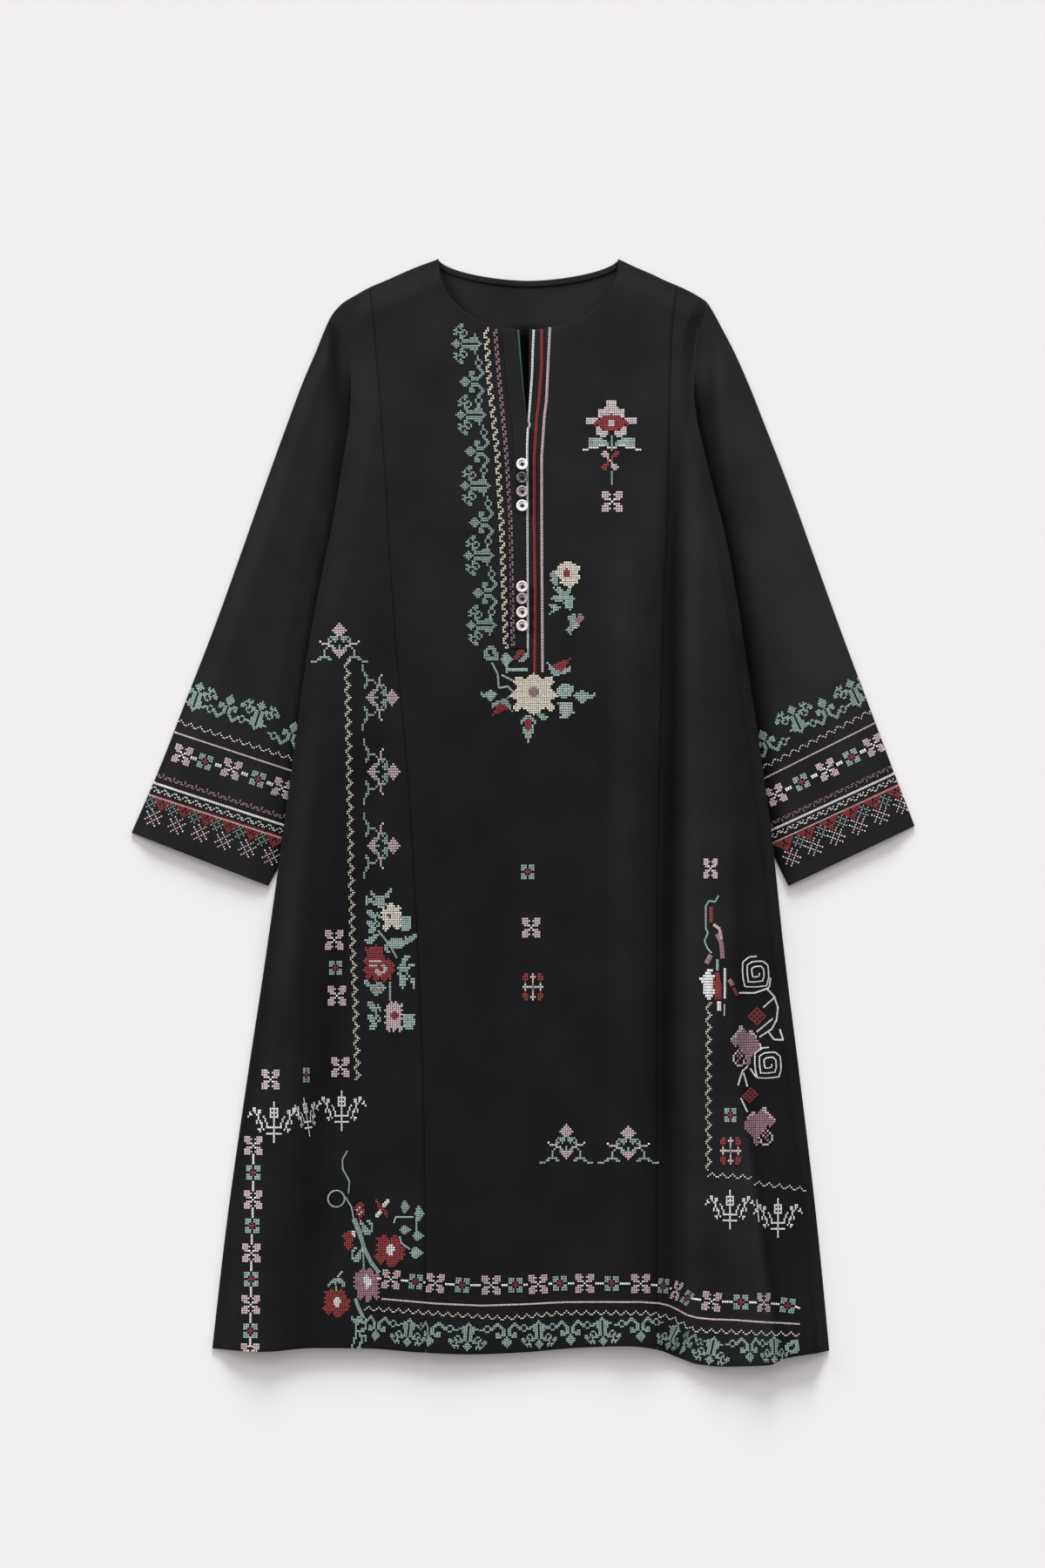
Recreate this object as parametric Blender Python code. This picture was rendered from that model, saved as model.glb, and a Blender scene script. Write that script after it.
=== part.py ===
"""Embroidered long-sleeved dress, laid flat on its back with the front upwards.

World axes: +Y runs from the hem to the neck, +X to the wearer's left, +Z up from the surface that it
lies on. Tables and drawing sizes are in millimetres. "across" is measured from the centre front, and
"drop" down the dress from the shoulder neck points. The wearer's right side is at -X.
"""

from bisect import bisect_right
from math import cos, pi, sin

import bmesh
import bpy
from mathutils import Vector

MM = 0.001

# Cloth and seams
CLOTH = 1.2  # wall of one layer
TRIM = 1.0  # wall of the narrow strips
SEAM = 0.3  # gap between pieces that are sewn together or lie on each other

# Neck
NECK_HALF = 93.0
FRONT_NECK_DEPTH = 73.0
FRONT_NECK_CURVE = 2.15  # exponent of the rounded neckline, 2 is an ellipse
BACK_NECK_DEPTH = 22.5
BACK_NECK_CURVE = 1.7
FACING_WIDTH = 6.3
FACING_HALF = 91.0

# How the layers lie
BASE_LIFT = 2.0  # the front lies this far above the back, away from the seams
EDGE_RUN = 30.0  # the front comes down to the back over this width beside a seam
UNDER_SLEEVE = 45.0  # a strip of the body beside its edge lies on the sleeve
SLEEVE_STEP_RUN = 50.0  # the body comes down to the floor over this width beside that strip
RISE_ABOVE_ARMPIT = (100.0, 160.0)  # drops between which the body's edge rises onto the sleeve
FALL_BELOW_CUFF = (695.0, 780.0)  # drops between which it comes down again
SLEEVE_LIFT = 3.5
SLEEVE_EDGE_RUN = 28.0
SLEEVE_CORNER = 0.7  # rounding of the sleeve's folded edges
BACK_HEM_SHORTER = 3.0

# Across at each drop: side edge and princess seam on the wearer's right, then seam and edge on the left.
# Down to the armpit, at about 194, each edge is the armhole seam.
BODY_COLUMNS = ("drop", "right_edge", "right_seam", "left_seam", "left_edge")
BODY = (
    (0, -200.0, -167.0, 158.0, 192.0),
    (30, -197.0, -164.0, 154.5, 188.0),
    (50, -194.4, -161.5, 151.5, 184.0),
    (71, -191.0, -159.5, 149.0, 175.5),
    (104, -184.5, -157.0, 147.5, 171.5),
    (134, -183.0, -154.0, 146.5, 171.0),
    (165, -184.5, -152.0, 146.0, 174.0),
    (194, -189.0, -150.0, 145.5, 180.5),
    (237, -196.0, -147.0, 144.7, 191.0),
    (282, -204.0, -145.0, 143.8, 202.5),
    (345, -217.0, -140.5, 140.6, 214.5),
    (426, -231.0, -134.5, 138.8, 227.0),
    (515, -243.0, -126.0, 136.5, 240.5),
    (600, -254.5, -120.0, 134.5, 252.0),
    (704, -269.0, -114.5, 133.7, 263.0),
    (849, -291.0, -108.5, 133.3, 281.0),
    (993, -311.5, -106.5, 133.2, 298.0),
    (1127, -327.0, -106.0, 133.2, 311.0),
    (1150, -329.5, -106.0, 133.2, 313.0),
)

# Shoulder line, out from the neck points to past the armholes
SHOULDER_COLUMNS = ("right_out", "left_out", "drop")
SHOULDER = (
    (-110, -110, -45),
    (0, 0, 0),
    (22, 17, 8.1),
    (39, 34, 15.3),
    (55, 49, 22.5),
    (72, 66, 29.7),
    (85, 80, 36.9),
    (97, 91, 44.1),
    (106, 97, 51.3),
)

# Hem of the front. The step down at 130 to 170 is where the cloth folds forward.
HEM_COLUMNS = ("across", "drop")
HEM = (
    (-340, 1125.5),
    (-275, 1128.5),
    (-221, 1125),
    (-167, 1125.5),
    (-113, 1129.5),
    (-59, 1131.5),
    (-5, 1129.5),
    (49, 1125),
    (103, 1123),
    (130, 1126),
    (157, 1136),
    (175, 1142),
    (200, 1144),
    (249, 1142),
    (262, 1136),
    (311, 1128.6),
    (330, 1127),
)

# Soft folds of the front: the crest runs straight from its top to its foot. A negative rise is a hollow.
FOLD_COLUMNS = ("top_across", "top_drop", "foot_across", "foot_drop", "rise", "right_width", "left_width")
FOLDS = (
    (176, 260, 214, 1144, 7.0, 40, 46),
    (238, 640, 262, 1144, -0.9, 16, 22),
    (154, 250, 152, 1144, -1.0, 22, 22),
    (98, 260, 106, 1010, 1.6, 55, 34),
    (-228, 760, -246, 1144, 2.2, 30, 24),
    (-196, 690, -206, 1144, -0.8, 20, 26),
    (-172, 230, -178, 960, 1.8, 26, 34),
)
FOLD_FADE = 190.0  # a fold grows to its full height over this length, from its top end

# Sleeves, from the shoulder to the cuff: the outer edge, and the inner edge that is mostly under the body
SLEEVE_OUTER_COLUMNS = ("drop", "right", "left")
SLEEVE_OUTER = (
    (58, -203.4, 193.0),
    (73, -210.6, 201.0),
    (93, -218.7, 211.5),
    (129, -234.0, 227.7),
    (165, -247.5, 242.0),
    (237, -273.6, 270.0),
    (309, -299.0, 296.0),
    (381, -325.0, 322.0),
    (453, -353.0, 349.0),
    (525, -381.0, 376.0),
    (593, -410.4, 402.2),
)
SLEEVE_INNER_COLUMNS = ("drop", "right", "left")
SLEEVE_INNER = (
    (270, -177.0, 171.0),
    (300, -180.0, 176.0),
    (360, -188.0, 186.0),
    (440, -200.0, 198.0),
    (520, -218.0, 216.5),
    (588, -240.0, 241.5),
    (628, -258.3, 259.0),
    (648, -269.1, 269.0),
)
# The armhole seam below the armpit, under the body. It starts at the armpit.
HIDDEN_SEAM_COLUMNS = ("drop", "right", "left")
HIDDEN_SEAM = ((220, -186.0, 178.5), (245, -181.5, 175.0), (270, -177.0, 171.0))
CUFF_OUTER_DROP = {"right": 593.0, "left": 586.0}

# Front opening: the two sides of the slit, and the free edge of the band, which covers the slit's foot
SLIT_COLUMNS = ("drop", "right_side", "left_side")
SLIT = ((70, -13.6, 1.0), (110, -10.0, 0.6), (147, -6.0, 0.3), (195, -3.0, -0.6))
BAND_COLUMNS = ("drop", "free_edge")
BAND = ((70, -11.8), (110, -8.2), (147, -4.2), (183, 0.4), (203, 1.6), (214, 0.6), (226, -2.4), (410, -2.2))
BAND_WIDTH = 15.5
BAND_END = 403.0
SLIT_FACING_END = 165.0
SLIT_FACING_SHOWN = (1.4, 0.4)  # at its top and at its end

# Buttons
BUTTON_DIAMETER = 12.0
BUTTON_THICKNESS = 2.4
BUTTON_HOLE = 1.3
BUTTON_HOLE_REACH = 1.5
BUTTON_ACROSS = -6.4
BUTTON_STEPS = 16
BUTTON_COLUMNS = ("drop", "shade")
BUTTONS = (
    (212.4, "pearl"),
    (226.4, "slate"),
    (240.6, "smoke"),
    (255.2, "pearl"),
    (338.9, "rose"),
    (351.4, "smoke"),
    (365.4, "rose"),
    (379.2, "rose"),
)

# Grid of each cloth piece
ROWS = 26
UPPER_ROWS = 6  # rows above the armpit
UPPER_SHARE = 0.1345  # of a panel's length, down to the armpit
SLIT_ROWS = 5
SIDE_COLUMNS = 10
CENTRE_OUTER_COLUMNS = 3  # from a princess seam to the neck point
CENTRE_NECK_COLUMNS = 6  # from the neck point to the slit
BACK_OUTER_COLUMNS = 6
BACK_NECK_COLUMNS = 4
SLEEVE_STATIONS = 15
SLEEVE_CROWDING = 1.3  # exponent that crowds the stations towards the shoulder
SLEEVE_HIDDEN_COLUMNS = 2
FACING_COLUMNS = 16
BAND_ROWS = 20
SLIT_FACING_ROWS = 6

# Colour, roughness and metal share
BLACK_COTTON = ((0.018, 0.018, 0.020), 0.85, 0.0)
TEAL_COTTON = ((0.10, 0.20, 0.19), 0.8, 0.0)
BUTTON_SHADES = {
    "pearl": ((0.83, 0.81, 0.78), 0.3, 0.0),
    "slate": ((0.10, 0.10, 0.105), 0.35, 0.0),
    "smoke": ((0.32, 0.28, 0.29), 0.35, 0.0),
    "rose": ((0.72, 0.62, 0.62), 0.3, 0.0),
}


def ease(t):
    """0 below 0, 1 above 1 and smooth between."""
    t = min(1.0, max(0.0, t))
    return t * t * (3 - 2 * t)


def lerp(a, b, t):
    return a + (b - a) * t


def even(start, end, count):
    """The ends of equal steps, without the start."""
    return [lerp(start, end, i / count) for i in range(1, count + 1)]


def crowded(start, end, count):
    """As even, but crowded towards the start, for a neckline that falls steeply there."""
    return [lerp(start, end, 1 - cos(pi / 2 * i / count)) for i in range(1, count + 1)]


class Curve:
    """A smooth line through the rows of a table, that never swings past them (monotone cubic)."""

    def __init__(self, columns, rows, key, value):
        self.at = [float(row[columns.index(key)]) for row in rows]
        self.to = [float(row[columns.index(value)]) for row in rows]
        steps = zip(self.at, self.at[1:], self.to, self.to[1:])
        slopes = [(d - c) / (b - a) for a, b, c, d in steps]
        self.slope = [slopes[0]]
        for before, after in zip(slopes, slopes[1:]):
            same_way = before * after > 0
            self.slope.append(2 * before * after / (before + after) if same_way else 0.0)
        self.slope.append(slopes[-1])

    def __call__(self, x):
        i = min(max(bisect_right(self.at, x) - 1, 0), len(self.at) - 2)
        width = self.at[i + 1] - self.at[i]
        t = (x - self.at[i]) / width
        if t < 0 or t > 1:
            end = i + (t > 1)
            return self.to[end] + self.slope[end] * (x - self.at[end])
        rise = self.to[i] * (1 + 2 * t) * (1 - t) ** 2 + self.to[i + 1] * t * t * (3 - 2 * t)
        lean = self.slope[i] * t * (1 - t) ** 2 - self.slope[i + 1] * t * t * (1 - t)
        return rise + lean * width


right_edge = Curve(BODY_COLUMNS, BODY, "drop", "right_edge")
right_seam = Curve(BODY_COLUMNS, BODY, "drop", "right_seam")
left_seam = Curve(BODY_COLUMNS, BODY, "drop", "left_seam")
left_edge = Curve(BODY_COLUMNS, BODY, "drop", "left_edge")
right_shoulder = Curve(SHOULDER_COLUMNS, SHOULDER, "right_out", "drop")
left_shoulder = Curve(SHOULDER_COLUMNS, SHOULDER, "left_out", "drop")
front_hem = Curve(HEM_COLUMNS, HEM, "across", "drop")
slit_right = Curve(SLIT_COLUMNS, SLIT, "drop", "right_side")
slit_left = Curve(SLIT_COLUMNS, SLIT, "drop", "left_side")
band_edge = Curve(BAND_COLUMNS, BAND, "drop", "free_edge")



def cuff_tip(side):
    return Curve(SLEEVE_OUTER_COLUMNS, SLEEVE_OUTER, "drop", side)(CUFF_OUTER_DROP[side])


ACROSS_MIDDLE = (cuff_tip("right") + cuff_tip("left")) / 2
DROP_MIDDLE = max(drop for _, drop in HEM) / 2


def world(across, drop, height):
    return Vector((across - ACROSS_MIDDLE, DROP_MIDDLE - drop, height)) * MM


def shoulder_drop(across):
    shoulder = right_shoulder if across < 0 else left_shoulder
    return shoulder(abs(across) - NECK_HALF)


def neckline(across, depth, exponent):
    """Drop of a rounded neckline between the neck points, and of the shoulder outside them."""
    if abs(across) >= NECK_HALF:
        return shoulder_drop(across)
    return depth * (1 - (abs(across) / NECK_HALF) ** exponent) ** (1 / exponent)


def front_top(across):
    return neckline(across, FRONT_NECK_DEPTH, FRONT_NECK_CURVE)


def back_top(across):
    return neckline(across, BACK_NECK_DEPTH, BACK_NECK_CURVE)


def back_hem(across):
    return front_hem(across) - BACK_HEM_SHORTER


def inside_edge(across, drop):
    """How far a point lies inside the body's nearer side edge."""
    return min(across - right_edge(drop), left_edge(drop) - across)


def back_underside(across, drop):
    """Height of the back's lower face: flat on the floor, and on the sleeve beside the body's edge."""
    rise_start, rise_end = RISE_ABOVE_ARMPIT
    fall_start, fall_end = FALL_BELOW_CUFF
    risen = ease((drop - rise_start) / (rise_end - rise_start))
    fallen = ease((drop - fall_start) / (fall_end - fall_start))
    beside = 1 - ease((inside_edge(across, drop) - UNDER_SLEEVE) / SLEEVE_STEP_RUN)
    sleeve_top = 2 * CLOTH + SEAM
    return (sleeve_top + SEAM) * risen * (1 - fallen) * beside


def fold_height(across, drop):
    total = 0.0
    for row in FOLDS:
        fold = dict(zip(FOLD_COLUMNS, row))
        way = (drop - fold["top_drop"]) / (fold["foot_drop"] - fold["top_drop"])
        crest = lerp(fold["top_across"], fold["foot_across"], way)
        width = fold["right_width"] if across < crest else fold["left_width"]
        grown = ease((drop - fold["top_drop"]) / FOLD_FADE)
        total += fold["rise"] * grown * ease(1 - abs(across - crest) / width)
    return total


def front_underside(across, drop):
    """Height of the front's lower face: a seam's gap over the back at the seams, higher between them."""
    beside = ease(inside_edge(across, drop) / EDGE_RUN)
    below = ease((drop - shoulder_drop(across)) / EDGE_RUN)
    lift = (BASE_LIFT + fold_height(across, drop)) * beside * below
    return back_underside(across, drop) + CLOTH + SEAM + lift


def front_face(across, drop):
    return front_underside(across, drop) + CLOTH


def meet(place, side_a, side_b, line):
    """Drop where a column, at its place between two sides, meets a line that runs across."""
    drop = 0.0
    for _ in range(40):
        drop = line(lerp(side_a(drop), side_b(drop), place))
    return drop


def row_share(row):
    """Share of a panel's length down to a row. The rows above the armpit are closer together."""
    if row <= UPPER_ROWS:
        return UPPER_SHARE * row / UPPER_ROWS
    return lerp(UPPER_SHARE, 1, (row - UPPER_ROWS) / (ROWS - UPPER_ROWS))


def give_material(obj, finish):
    colour, roughness, metallic = finish
    material = bpy.data.materials.new(obj.name)
    material.use_nodes = True
    shader = material.node_tree.nodes["Principled BSDF"]
    shader.inputs["Base Color"].default_value = (*colour, 1)
    shader.inputs["Roughness"].default_value = roughness
    shader.inputs["Metallic"].default_value = metallic
    obj.data.materials.append(material)


def new_object(name, bm, finish, collection):
    mesh = bpy.data.meshes.new(name)
    bmesh.ops.recalc_face_normals(bm, faces=bm.faces)
    bm.to_mesh(mesh)
    bm.free()
    obj = bpy.data.objects.new(name, mesh)
    collection.objects.link(obj)
    if finish:
        give_material(obj, finish)
    return obj


def grid(columns, rows):
    """A flat grid, with its vertices by (column, row) from the top left."""
    bm = bmesh.new()
    bmesh.ops.create_grid(bm, x_segments=columns, y_segments=rows, size=0.5)
    found = {}
    for vert in bm.verts:
        found[round((0.5 + vert.co.x) * columns), round((0.5 - vert.co.y) * rows)] = vert
    return bm, found


def thicken(bm, wall):
    """Closes a sheet of cloth: a copy of it raised by the wall, with a rim all round."""
    made = bmesh.ops.extrude_face_region(bm, geom=bm.faces[:])
    raised = [item for item in made["geom"] if isinstance(item, bmesh.types.BMVert)]
    bmesh.ops.translate(bm, verts=raised, vec=(0, 0, wall * MM))


def sheet(columns, rows, place):
    """A grid with each vertex at place(column, row)."""
    bm, verts = grid(columns, rows)
    for (column, row), vert in verts.items():
        vert.co = place(column, row)
    return bm, verts


def panel(sides, ends, underside, places):
    """A cloth panel between two sides, from one line across to another. places are its columns' shares."""
    side_a, side_b = sides
    top, bottom = ends
    spans = [(meet(place, side_a, side_b, top), meet(place, side_a, side_b, bottom)) for place in places]

    def place_vertex(column, row):
        drop = lerp(*spans[column], row_share(row))
        across = lerp(side_a(drop), side_b(drop), places[column])
        return world(across, drop, underside(across, drop))

    return sheet(len(places) - 1, ROWS, place_vertex)


def share_between(across, side_a, side_b, drop):
    return (across - side_a(drop)) / (side_b(drop) - side_a(drop))


def beside(seam, gap):
    """A line beside a seam, across by the gap."""
    return lambda drop: seam(drop) + gap


def build_front_centre(parts):
    """The centre front, with a strip of its grid left out for the slit."""
    sides = (beside(right_seam, SEAM / 2), beside(left_seam, -SEAM / 2))
    neck_a = share_between(-NECK_HALF, *sides, 0)
    neck_b = share_between(NECK_HALF, *sides, 0)
    slit_a = share_between(slit_right(FRONT_NECK_DEPTH), *sides, FRONT_NECK_DEPTH)
    slit_b = share_between(slit_left(FRONT_NECK_DEPTH), *sides, FRONT_NECK_DEPTH)
    right_half = [0, *even(0, neck_a, CENTRE_OUTER_COLUMNS), *crowded(neck_a, slit_a, CENTRE_NECK_COLUMNS)]
    left_half = [1, *even(1, neck_b, CENTRE_OUTER_COLUMNS), *crowded(neck_b, slit_b, CENTRE_NECK_COLUMNS)]
    strip = len(right_half) - 1
    bm, verts = panel(sides, (front_top, front_hem), front_underside, right_half + left_half[::-1])
    strip_verts = set()
    for row in range(SLIT_ROWS + 1):
        for column, edge in ((strip, slit_right), (strip + 1, slit_left)):
            vert = verts[column, row]
            drop = DROP_MIDDLE - vert.co.y / MM
            vert.co = world(edge(drop), drop, front_underside(edge(drop), drop))
            strip_verts.add(vert)
    strip_faces = [face for face in bm.faces if strip_verts.issuperset(face.verts)]
    bmesh.ops.delete(bm, geom=strip_faces, context="FACES")
    thicken(bm, CLOTH)
    new_object("front_centre", bm, BLACK_COTTON, parts)


def build_front_side(name, sides, parts):
    places = [0, *even(0, 1, SIDE_COLUMNS)]
    bm, _ = panel(sides, (front_top, front_hem), front_underside, places)
    thicken(bm, CLOTH)
    new_object(name, bm, BLACK_COTTON, parts)


def build_back(parts):
    sides = (right_edge, left_edge)
    neck_a = share_between(-NECK_HALF, *sides, 0)
    neck_b = share_between(NECK_HALF, *sides, 0)
    middle = (neck_a + neck_b) / 2
    right_half = [0, *even(0, neck_a, BACK_OUTER_COLUMNS), *crowded(neck_a, middle, BACK_NECK_COLUMNS)]
    left_half = [1, *even(1, neck_b, BACK_OUTER_COLUMNS), *crowded(neck_b, middle, BACK_NECK_COLUMNS)]
    bm, _ = panel(sides, (back_top, back_hem), back_underside, right_half[:-1] + left_half[::-1])
    thicken(bm, CLOTH)
    new_object("back", bm, BLACK_COTTON, parts)


def build_neck_facing(parts):
    """The facing inside the back neck, a narrow strip along the neckline."""

    def place_vertex(column, row):
        across = lerp(-FACING_HALF, FACING_HALF, column / FACING_COLUMNS)
        return world(across, back_top(across) + FACING_WIDTH * row, CLOTH + SEAM)

    bm, _ = sheet(FACING_COLUMNS, 1, place_vertex)
    thicken(bm, TRIM)
    new_object("back_neck_facing", bm, BLACK_COTTON, parts)


def build_button_band(parts):
    """The band that the buttons are sewn to. It lies on the centre front and covers the slit's foot."""

    def place_vertex(column, row):
        drop = lerp(FRONT_NECK_DEPTH, BAND_END, row / BAND_ROWS)
        across = band_edge(drop) - BAND_WIDTH * (1 - column / 2)
        if row == 0:
            drop = front_top(across)
        return world(across, drop, front_face(across, drop) + SEAM)

    bm, _ = sheet(2, BAND_ROWS, place_vertex)
    thicken(bm, TRIM)
    new_object("button_band", bm, BLACK_COTTON, parts)


def build_slit_facing(parts):
    """The coloured facing inside the slit. It shows beside the band's free edge."""

    def place_vertex(column, row):
        drop = lerp(FRONT_NECK_DEPTH, SLIT_FACING_END, row / SLIT_FACING_ROWS)
        shown = lerp(*SLIT_FACING_SHOWN, row / SLIT_FACING_ROWS)
        across = band_edge(drop) + shown if column else slit_right(drop) + SEAM
        return world(across, drop, front_face(across, drop) - TRIM)

    bm, _ = sheet(1, SLIT_FACING_ROWS, place_vertex)
    thicken(bm, TRIM)
    new_object("slit_facing", bm, TEAL_COTTON, parts)


class Sleeve:
    """One sleeve, a flattened tube. s runs from armhole to cuff, w from the outer edge to the inner."""

    def __init__(self, side):
        self.name = f"sleeve_{side}"
        self.sign = -1 if side == "right" else 1
        self.body_edge = right_edge if side == "right" else left_edge
        place = 0 if side == "right" else 1
        self.tip = meet(place, right_edge, left_edge, shoulder_drop)
        hem = meet(place, right_edge, left_edge, front_hem)
        self.armpit = lerp(self.tip, hem, UPPER_SHARE)
        self.cuff = CUFF_OUTER_DROP[side]
        tip_row, armpit_row = [(drop, *[self.seam_across(drop)] * 2) for drop in (self.tip, self.armpit)]
        self.outer = Curve(SLEEVE_OUTER_COLUMNS, (tip_row, *SLEEVE_OUTER), "drop", side)
        self.inner = Curve(SLEEVE_INNER_COLUMNS, SLEEVE_INNER, "drop", side)
        self.hidden_seam = Curve(HIDDEN_SEAM_COLUMNS, (armpit_row, *HIDDEN_SEAM), "drop", side)
        self.seam_end = HIDDEN_SEAM[-1][0]

    def seam_across(self, drop):
        """The armhole seam, beside the body's edge."""
        return self.body_edge(drop) + self.sign * SEAM

    def outer_point(self, s):
        drop = lerp(self.tip, self.cuff, s)
        return Vector((self.outer(drop), drop))

    def inner_point(self, s):
        drop = lerp(self.seam_end, SLEEVE_INNER[-1][0], s)
        return Vector((self.inner(drop), drop))

    def seam_point(self, w):
        drop = lerp(self.tip, self.seam_end, w)
        seam = self.seam_across if drop < self.armpit else self.hidden_seam
        return Vector((seam(drop), drop))

    def plan(self, s, w):
        """(across, drop) of a point between the four edges, a Coons patch with a straight cuff."""
        cuff = self.outer_point(1).lerp(self.inner_point(1), w)
        between_ends = self.seam_point(w).lerp(cuff, s)
        between_edges = self.outer_point(s).lerp(self.inner_point(s), w)
        between_corners = self.seam_point(0).lerp(self.seam_point(1), w).lerp(cuff, s)
        return between_ends + between_edges - between_corners

    def outside_body(self, point):
        """How far the point lies outside the body's edge."""
        return self.sign * (point.x - self.body_edge(point.y))

    def shown_share(self, s):
        """The w at which the sleeve goes under the body's edge."""
        if s == 0:
            return (self.armpit - self.tip) / (self.seam_end - self.tip)
        low, high = 0.3, 0.94
        for _ in range(30):
            middle = (low + high) / 2
            if self.outside_body(self.plan(s, middle)) > 0:
                low = middle
            else:
                high = middle
        return low

    def top(self, point, s):
        """Height of the upper face: low at both edges and under the body, higher between them."""
        from_outer = (point - self.outer_point(s)).length
        raised = ease(from_outer / SLEEVE_EDGE_RUN) * ease(self.outside_body(point) / SLEEVE_EDGE_RUN)
        return 2 * CLOTH + SEAM + SLEEVE_LIFT * raised

    def ring(self, s, inset):
        """Points round the tube at s, on its outer face, or on its inner face if inset is the wall."""
        share = self.shown_share(s)
        shares = [0, *even(0, share, UPPER_ROWS), *even(share, 1, SLEEVE_HIDDEN_COLUMNS)]
        outermost, innermost = self.plan(s, 0), self.plan(s, 1)
        inwards = (innermost - outermost).normalized()
        ends = {0: inwards * (SLEEVE_CORNER + inset), 1: -inwards * (SLEEVE_CORNER + inset)}
        upper, lower = [], []
        for w in shares:
            point = self.plan(s, w)
            moved = point + ends.get(w, Vector((0, 0)))
            upper.append(world(*moved, self.top(point, s) - inset))
            lower.append(world(*moved, inset))
        middle = CLOTH + SEAM / 2
        outer_end = world(*(outermost + inwards * inset), middle)
        inner_end = world(*(innermost - inwards * inset), middle)
        return [outer_end, *upper, inner_end, *reversed(lower)]

    def build(self, parts):
        stations = [(i / SLEEVE_STATIONS) ** SLEEVE_CROWDING for i in range(SLEEVE_STATIONS + 1)]
        rings = [self.ring(s, 0) for s in stations] + [self.ring(s, CLOTH) for s in reversed(stations)]
        around = len(rings[0])
        bm, _ = sheet(around, len(rings), lambda column, row: rings[row % len(rings)][column % around])
        bmesh.ops.remove_doubles(bm, verts=bm.verts, dist=0.01 * MM)
        new_object(self.name, bm, BLACK_COTTON, parts)


def button_profile():
    """(radius, height) from the centre of the underside, out and over the rim, to the centre of the face."""
    radius, thick = BUTTON_DIAMETER / 2, BUTTON_THICKNESS
    return (
        (0, 0),
        (0.7 * radius, 0),
        (radius, 0.4 * thick),
        (0.96 * radius, 0.85 * thick),
        (0.8 * radius, thick),
        (0.6 * radius, 0.68 * thick),
        (0, 0.64 * thick),
    )


def turned_button():
    bm = bmesh.new()
    chain = [bm.verts.new((radius * MM, 0, height * MM)) for radius, height in button_profile()]
    for below, above in zip(chain, chain[1:]):
        bm.edges.new((below, above))
    bmesh.ops.spin(
        bm, geom=bm.verts[:] + bm.edges[:], cent=(0, 0, 0), axis=(0, 0, 1),
        angle=2 * pi, steps=BUTTON_STEPS, use_merge=True, use_duplicate=False,
    )
    bmesh.ops.remove_doubles(bm, verts=bm.verts, dist=0.01 * MM)
    return bm


def hole_cutter():
    """Four pins that cut a button's holes, one on each side of its centre."""
    bm = bmesh.new()
    for turn in (0, pi / 2, pi, 3 * pi / 2):
        pin = bmesh.ops.create_cone(
            bm, cap_ends=True, segments=6, radius1=BUTTON_HOLE / 2 * MM, radius2=BUTTON_HOLE / 2 * MM,
            depth=4 * BUTTON_THICKNESS * MM,
        )
        reach = BUTTON_HOLE_REACH * MM
        bmesh.ops.translate(bm, verts=pin["verts"], vec=(reach * cos(turn), reach * sin(turn), 0))
    return bm


def build_buttons(parts, cutters):
    for number, row in enumerate(BUTTONS, 1):
        button = dict(zip(BUTTON_COLUMNS, row))
        drop = button["drop"]
        band_face = front_face(BUTTON_ACROSS, drop) + SEAM + TRIM
        place = world(BUTTON_ACROSS, drop, band_face + SEAM)
        obj = new_object(f"button_{number}", turned_button(), BUTTON_SHADES[button["shade"]], parts)
        obj.location = place
        cutter = new_object(f"button_{number}_holes", hole_cutter(), None, cutters)
        cutter.location = place
        cutter.hide_render = True
        cutter.display_type = "WIRE"
        cut = obj.modifiers.new("holes", "BOOLEAN")
        cut.operation = "DIFFERENCE"
        cut.solver = "EXACT"
        cut.object = cutter


def new_collection(name):
    collection = bpy.data.collections.new(name)
    bpy.context.scene.collection.children.link(collection)
    return collection


def main():
    for obj in list(bpy.data.objects):
        bpy.data.objects.remove(obj)
    parts = new_collection("embroidered_dress")
    cutters = new_collection("cutters")
    build_front_centre(parts)
    build_front_side("front_side_right", (right_edge, beside(right_seam, -SEAM / 2)), parts)
    build_front_side("front_side_left", (beside(left_seam, SEAM / 2), left_edge), parts)
    build_back(parts)
    build_neck_facing(parts)
    build_button_band(parts)
    build_slit_facing(parts)
    Sleeve("right").build(parts)
    Sleeve("left").build(parts)
    build_buttons(parts, cutters)


main()
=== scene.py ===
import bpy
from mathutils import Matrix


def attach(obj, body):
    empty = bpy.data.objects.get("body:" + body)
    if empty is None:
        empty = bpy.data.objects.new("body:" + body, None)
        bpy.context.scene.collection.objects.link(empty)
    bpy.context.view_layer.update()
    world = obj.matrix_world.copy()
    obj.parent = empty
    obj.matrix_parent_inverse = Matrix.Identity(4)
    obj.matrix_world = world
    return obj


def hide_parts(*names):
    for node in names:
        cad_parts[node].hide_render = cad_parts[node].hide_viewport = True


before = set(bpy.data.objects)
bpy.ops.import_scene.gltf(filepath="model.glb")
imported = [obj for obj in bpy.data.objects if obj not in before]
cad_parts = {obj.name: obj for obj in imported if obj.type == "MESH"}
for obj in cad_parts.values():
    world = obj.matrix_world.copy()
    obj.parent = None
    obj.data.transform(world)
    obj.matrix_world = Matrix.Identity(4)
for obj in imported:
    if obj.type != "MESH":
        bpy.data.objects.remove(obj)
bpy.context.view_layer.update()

import bisect
import math

import bmesh
import bpy
import numpy
from mathutils import Matrix, Vector, noise
from mathutils.bvhtree import BVHTree

# Plan sizes are in mm: "across" from the centre front, towards the wearer's left, and "drop" from the neck
# points down. Both are turned into the frame's metres by toFrame.
mm = 0.001
middle = {"across": -5.4, "drop": 572.0}  # of the whole dress, as it lies

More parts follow.
